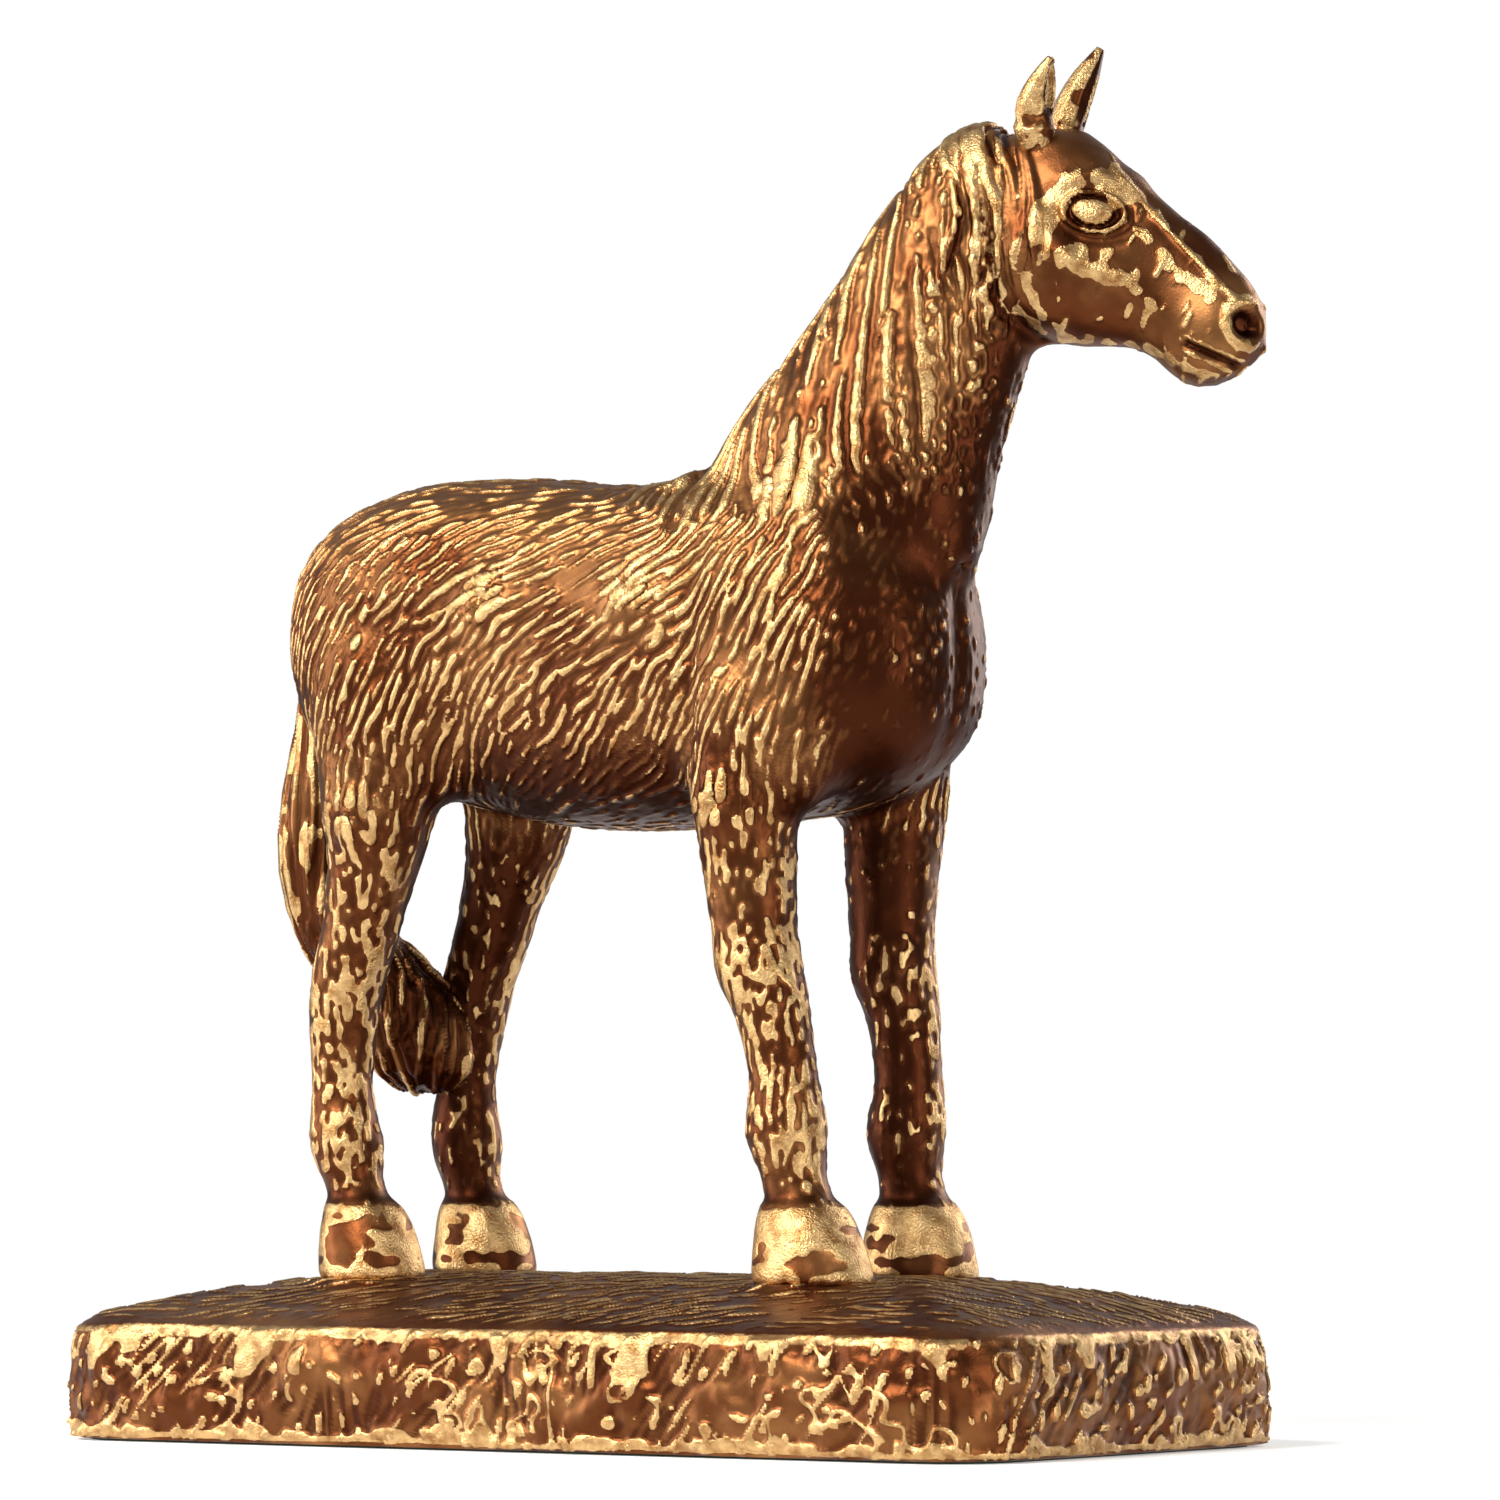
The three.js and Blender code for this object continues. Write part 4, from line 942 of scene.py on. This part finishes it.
def patinaAndLightGroup():
    tree = bpy.data.node_groups.new("Rubbed patina and painted light", "ShaderNodeTree")
    for name in bronzeLook:
        tree.interface.new_socket(name, in_out="INPUT", socket_type="NodeSocketColor")
    tree.interface.new_socket("Color", in_out="OUTPUT", socket_type="NodeSocketColor")
    tree.interface.new_socket("Roughness", in_out="OUTPUT", socket_type="NodeSocketFloat")
    tree.interface.new_socket("Grain", in_out="OUTPUT", socket_type="NodeSocketFloat")
    given = add(tree, "NodeGroupInput").outputs
    out = add(tree, "NodeGroupOutput").inputs
    marks = ("gold", "dark", "warm")
    goldMark, patinaAndShadeMark, copperAndTopLightMark = (
        add(tree, "ShaderNodeAttribute", attribute_name=mark).outputs["Fac"] for mark in marks
    )
    black, white = (0, 0, 0), (1, 1, 1)
    wear = mathNode(tree, "MULTIPLY", mathNode(tree, "SUBTRACT", noiseOf(tree, 420, 3), 0.5), 0.5)
    edge = mathNode(tree, "ADD", goldMark, wear)
    # Painted light: where the skin faces up the copper clouds grow, as if lit from above; the rest of the
    # copper is random cloud.
    cloudsAndTopLight = mathNode(tree, "ADD", noiseOf(tree, 55, 3), mathNode(tree, "MULTIPLY", copperAndTopLightMark, 0.3))
    copperCloudsAndTopLight = ramp(tree, cloudsAndTopLight, [(0.45, black), (0.78, white)])
    field = mixColor(tree, copperCloudsAndTopLight, given["Brown"], given["Copper"])
    # Deep brown follows the dark mark: patina in the hollows, and painted shade on the chest, the belly, the
    # undersides and the inner sides of the legs.
    field = mixColor(tree, patinaAndShadeMark, field, given["Deep brown"])
    age = ramp(tree, noiseOf(tree, 300, 2), [(0.3, black), (0.6, white)])
    bright = mixColor(tree, age, given["Old gold"], given["Gold"])
    goldMask = ramp(tree, edge, [(0.44, black), (0.56, white)])
    tree.links.new(mixColor(tree, goldMask, field, bright), out["Color"])
    tree.links.new(ramp(tree, edge, [(0.4, (0.4,) * 3), (0.6, (0.38,) * 3)]), out["Roughness"])
    grainy = mathNode(tree, "MULTIPLY", noiseOf(tree, 2100, 2), mathNode(tree, "ADD", edge, 0.15))
    tree.links.new(grainy, out["Grain"])
    return tree


rubbedPatinaAndLight = patinaAndLightGroup()


def bronzeMaterial(name, look):
    material, tree, shader = newMaterial(name)
    patina = add(tree, "ShaderNodeGroup", node_tree=rubbedPatinaAndLight)
    for word, color in look.items():
        patina.inputs[word].default_value = (*color, 1)
    tree.links.new(patina.outputs["Color"], shader.inputs["Base Color"])
    tree.links.new(patina.outputs["Roughness"], shader.inputs["Roughness"])
    shader.inputs["Metallic"].default_value = 1.0
    bump = add(tree, "ShaderNodeBump")
    bump.inputs["Strength"].default_value = bronzeGrain["strength"]
    bump.inputs["Distance"].default_value = bronzeGrain["distance"]
    tree.links.new(patina.outputs["Grain"], bump.inputs["Height"])
    tree.links.new(bump.outputs["Normal"], shader.inputs["Normal"])
    return material


def metalMaterial(name, color, roughness):
    material, tree, shader = newMaterial(name)
    tone = ramp(tree, noiseOf(tree, 900, 2), [(0.3, tuple(0.8 * c for c in color)), (0.7, color)])
    tree.links.new(tone, shader.inputs["Base Color"])
    shader.inputs["Metallic"].default_value = 1.0
    shader.inputs["Roughness"].default_value = roughness
    return material


def feltMaterial(name, color):
    material, tree, shader = newMaterial(name)
    tone = ramp(tree, noiseOf(tree, 1500, 4), [(0.3, tuple(0.6 * c for c in color)), (0.7, color)])
    tree.links.new(tone, shader.inputs["Base Color"])
    shader.inputs["Roughness"].default_value = 0.95
    return material


horseBronze = bronzeMaterial("Horse bronze", bronzeLook)
baseBronze = bronzeMaterial("Base bronze", bronzeLook)
pinBronze = metalMaterial("Pin bronze", (0.55, 0.36, 0.16), 0.35)
steel = metalMaterial("Steel", (0.56, 0.57, 0.58), 0.3)
brass = metalMaterial("Brass", (0.72, 0.52, 0.24), 0.3)
felt = feltMaterial("Felt", (0.035, 0.08, 0.045))

for node, piece in pieces.items():
    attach(piece, "root")
    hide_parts(node)
    isBase = node == "base"
    piece.data.materials.append(baseBronze if isBase else horseBronze)

for name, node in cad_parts.items():
    if name in pieces:
        continue
    if "pin" in name or "plug" in name:
        look = pinBronze
    elif name.startswith(("stud", "washer", "nut", "cover_screw")):
        look = steel
    elif name == "felt_pad":
        look = felt
    else:
        look = brass
    for place in range(len(node.data.materials)):
        node.data.materials[place] = look
stage("materials")


def panel(name, spot, aim, width, height, power, color):
    light = bpy.data.lights.new(name, "AREA")
    light.shape = "RECTANGLE"
    light.size = width
    light.size_y = height
    light.energy = power
    light.color = color
    lamp = bpy.data.objects.new(name, light)
    lamp.location = spot
    lamp.rotation_euler = (Vector(aim) - Vector(spot)).to_track_quat("-Z", "Y").to_euler()
    bpy.context.scene.collection.objects.link(lamp)


floorMesh = bpy.data.meshes.new("Floor")
floorLook = {"radius": 0.5, "sides": 96}
turns = np.linspace(0, 2 * math.pi, floorLook["sides"], endpoint=False)
floorRim = [(floorLook["radius"] * math.cos(a), floorLook["radius"] * math.sin(a), 0) for a in turns]
floorMesh.from_pydata(floorRim, [], [tuple(range(floorLook["sides"]))])
floor = bpy.data.objects.new("Floor", floorMesh)
bpy.context.scene.collection.objects.link(floor)
floorMaterial, floorTree, floorShader = newMaterial("Floor")
floorTone = ramp(floorTree, noiseOf(floorTree, 3, 2), [(0.0, (0.82, 0.82, 0.82)), (1.0, (0.84, 0.84, 0.84))])
floorTree.links.new(floorTone, floorShader.inputs["Base Color"])
floorShader.inputs["Roughness"].default_value = 0.9
floorShader.inputs["Emission Color"].default_value = (1, 1, 1, 1)
floorShader.inputs["Emission Strength"].default_value = 0.35
floorMesh.materials.append(floorMaterial)

world = bpy.data.worlds.new("Studio")
world.use_nodes = True
sky = world.node_tree
dim = sky.nodes["Background"]  # lights the horse, while the camera sees white
dim.inputs["Color"].default_value = (0.95, 0.97, 1, 1)
dim.inputs["Strength"].default_value = 0.36
bright = add(sky, "ShaderNodeBackground")
bright.inputs["Color"].default_value = (1, 1, 1, 1)
bright.inputs["Strength"].default_value = 1.0
seen = add(sky, "ShaderNodeLightPath")
choice = add(sky, "ShaderNodeMixShader")
sky.links.new(seen.outputs["Is Camera Ray"], choice.inputs["Fac"])
sky.links.new(dim.outputs[0], choice.inputs[1])
sky.links.new(bright.outputs[0], choice.inputs[2])
sky.links.new(choice.outputs[0], sky.nodes["World Output"].inputs["Surface"])
bpy.context.scene.world = world
bpy.context.scene.view_settings.view_transform = "Standard"

# The camera looks at the horse's right side from a little ahead, and the lights are placed from it.
azimuth = math.radians(35)
back = Vector((math.sin(azimuth), -math.cos(azimuth), 0))
right = Vector((math.cos(azimuth), math.sin(azimuth), 0))
up = Vector((0, 0, 1))
panel("Key", -0.75 * right + 0.75 * back + 0.95 * up, (0, 0, 0.16), 0.55, 0.55, 22, (1, 0.96, 0.9))
panel("Fill", -1.1 * right - 0.1 * back + 0.35 * up, (0, 0, 0.14), 0.3, 0.8, 7, (1, 0.98, 0.95))
panel("Front", 0.8 * right + 0.95 * back + 0.25 * up, (0, 0, 0.17), 0.5, 0.5, 5, (1, 0.97, 0.93))
panel("Rim", 0.85 * right - 0.75 * back + 0.5 * up, (0, 0, 0.15), 0.4, 0.9, 6, (1, 0.97, 0.92))

camera = bpy.data.cameras.new("Camera")
camera.sensor_width = 36
camera.lens = 170.3
eye = bpy.data.objects.new("Camera", camera)
eye.location = back * 1.5 + Vector((0, 0, 0.06))
aim = right * 0.0185 + Vector((0, 0, 0.146))
eye.rotation_euler = (aim - eye.location).to_track_quat("-Z", "Y").to_euler()
bpy.context.scene.collection.objects.link(eye)
bpy.context.scene.camera = eye

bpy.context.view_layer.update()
stage("done")
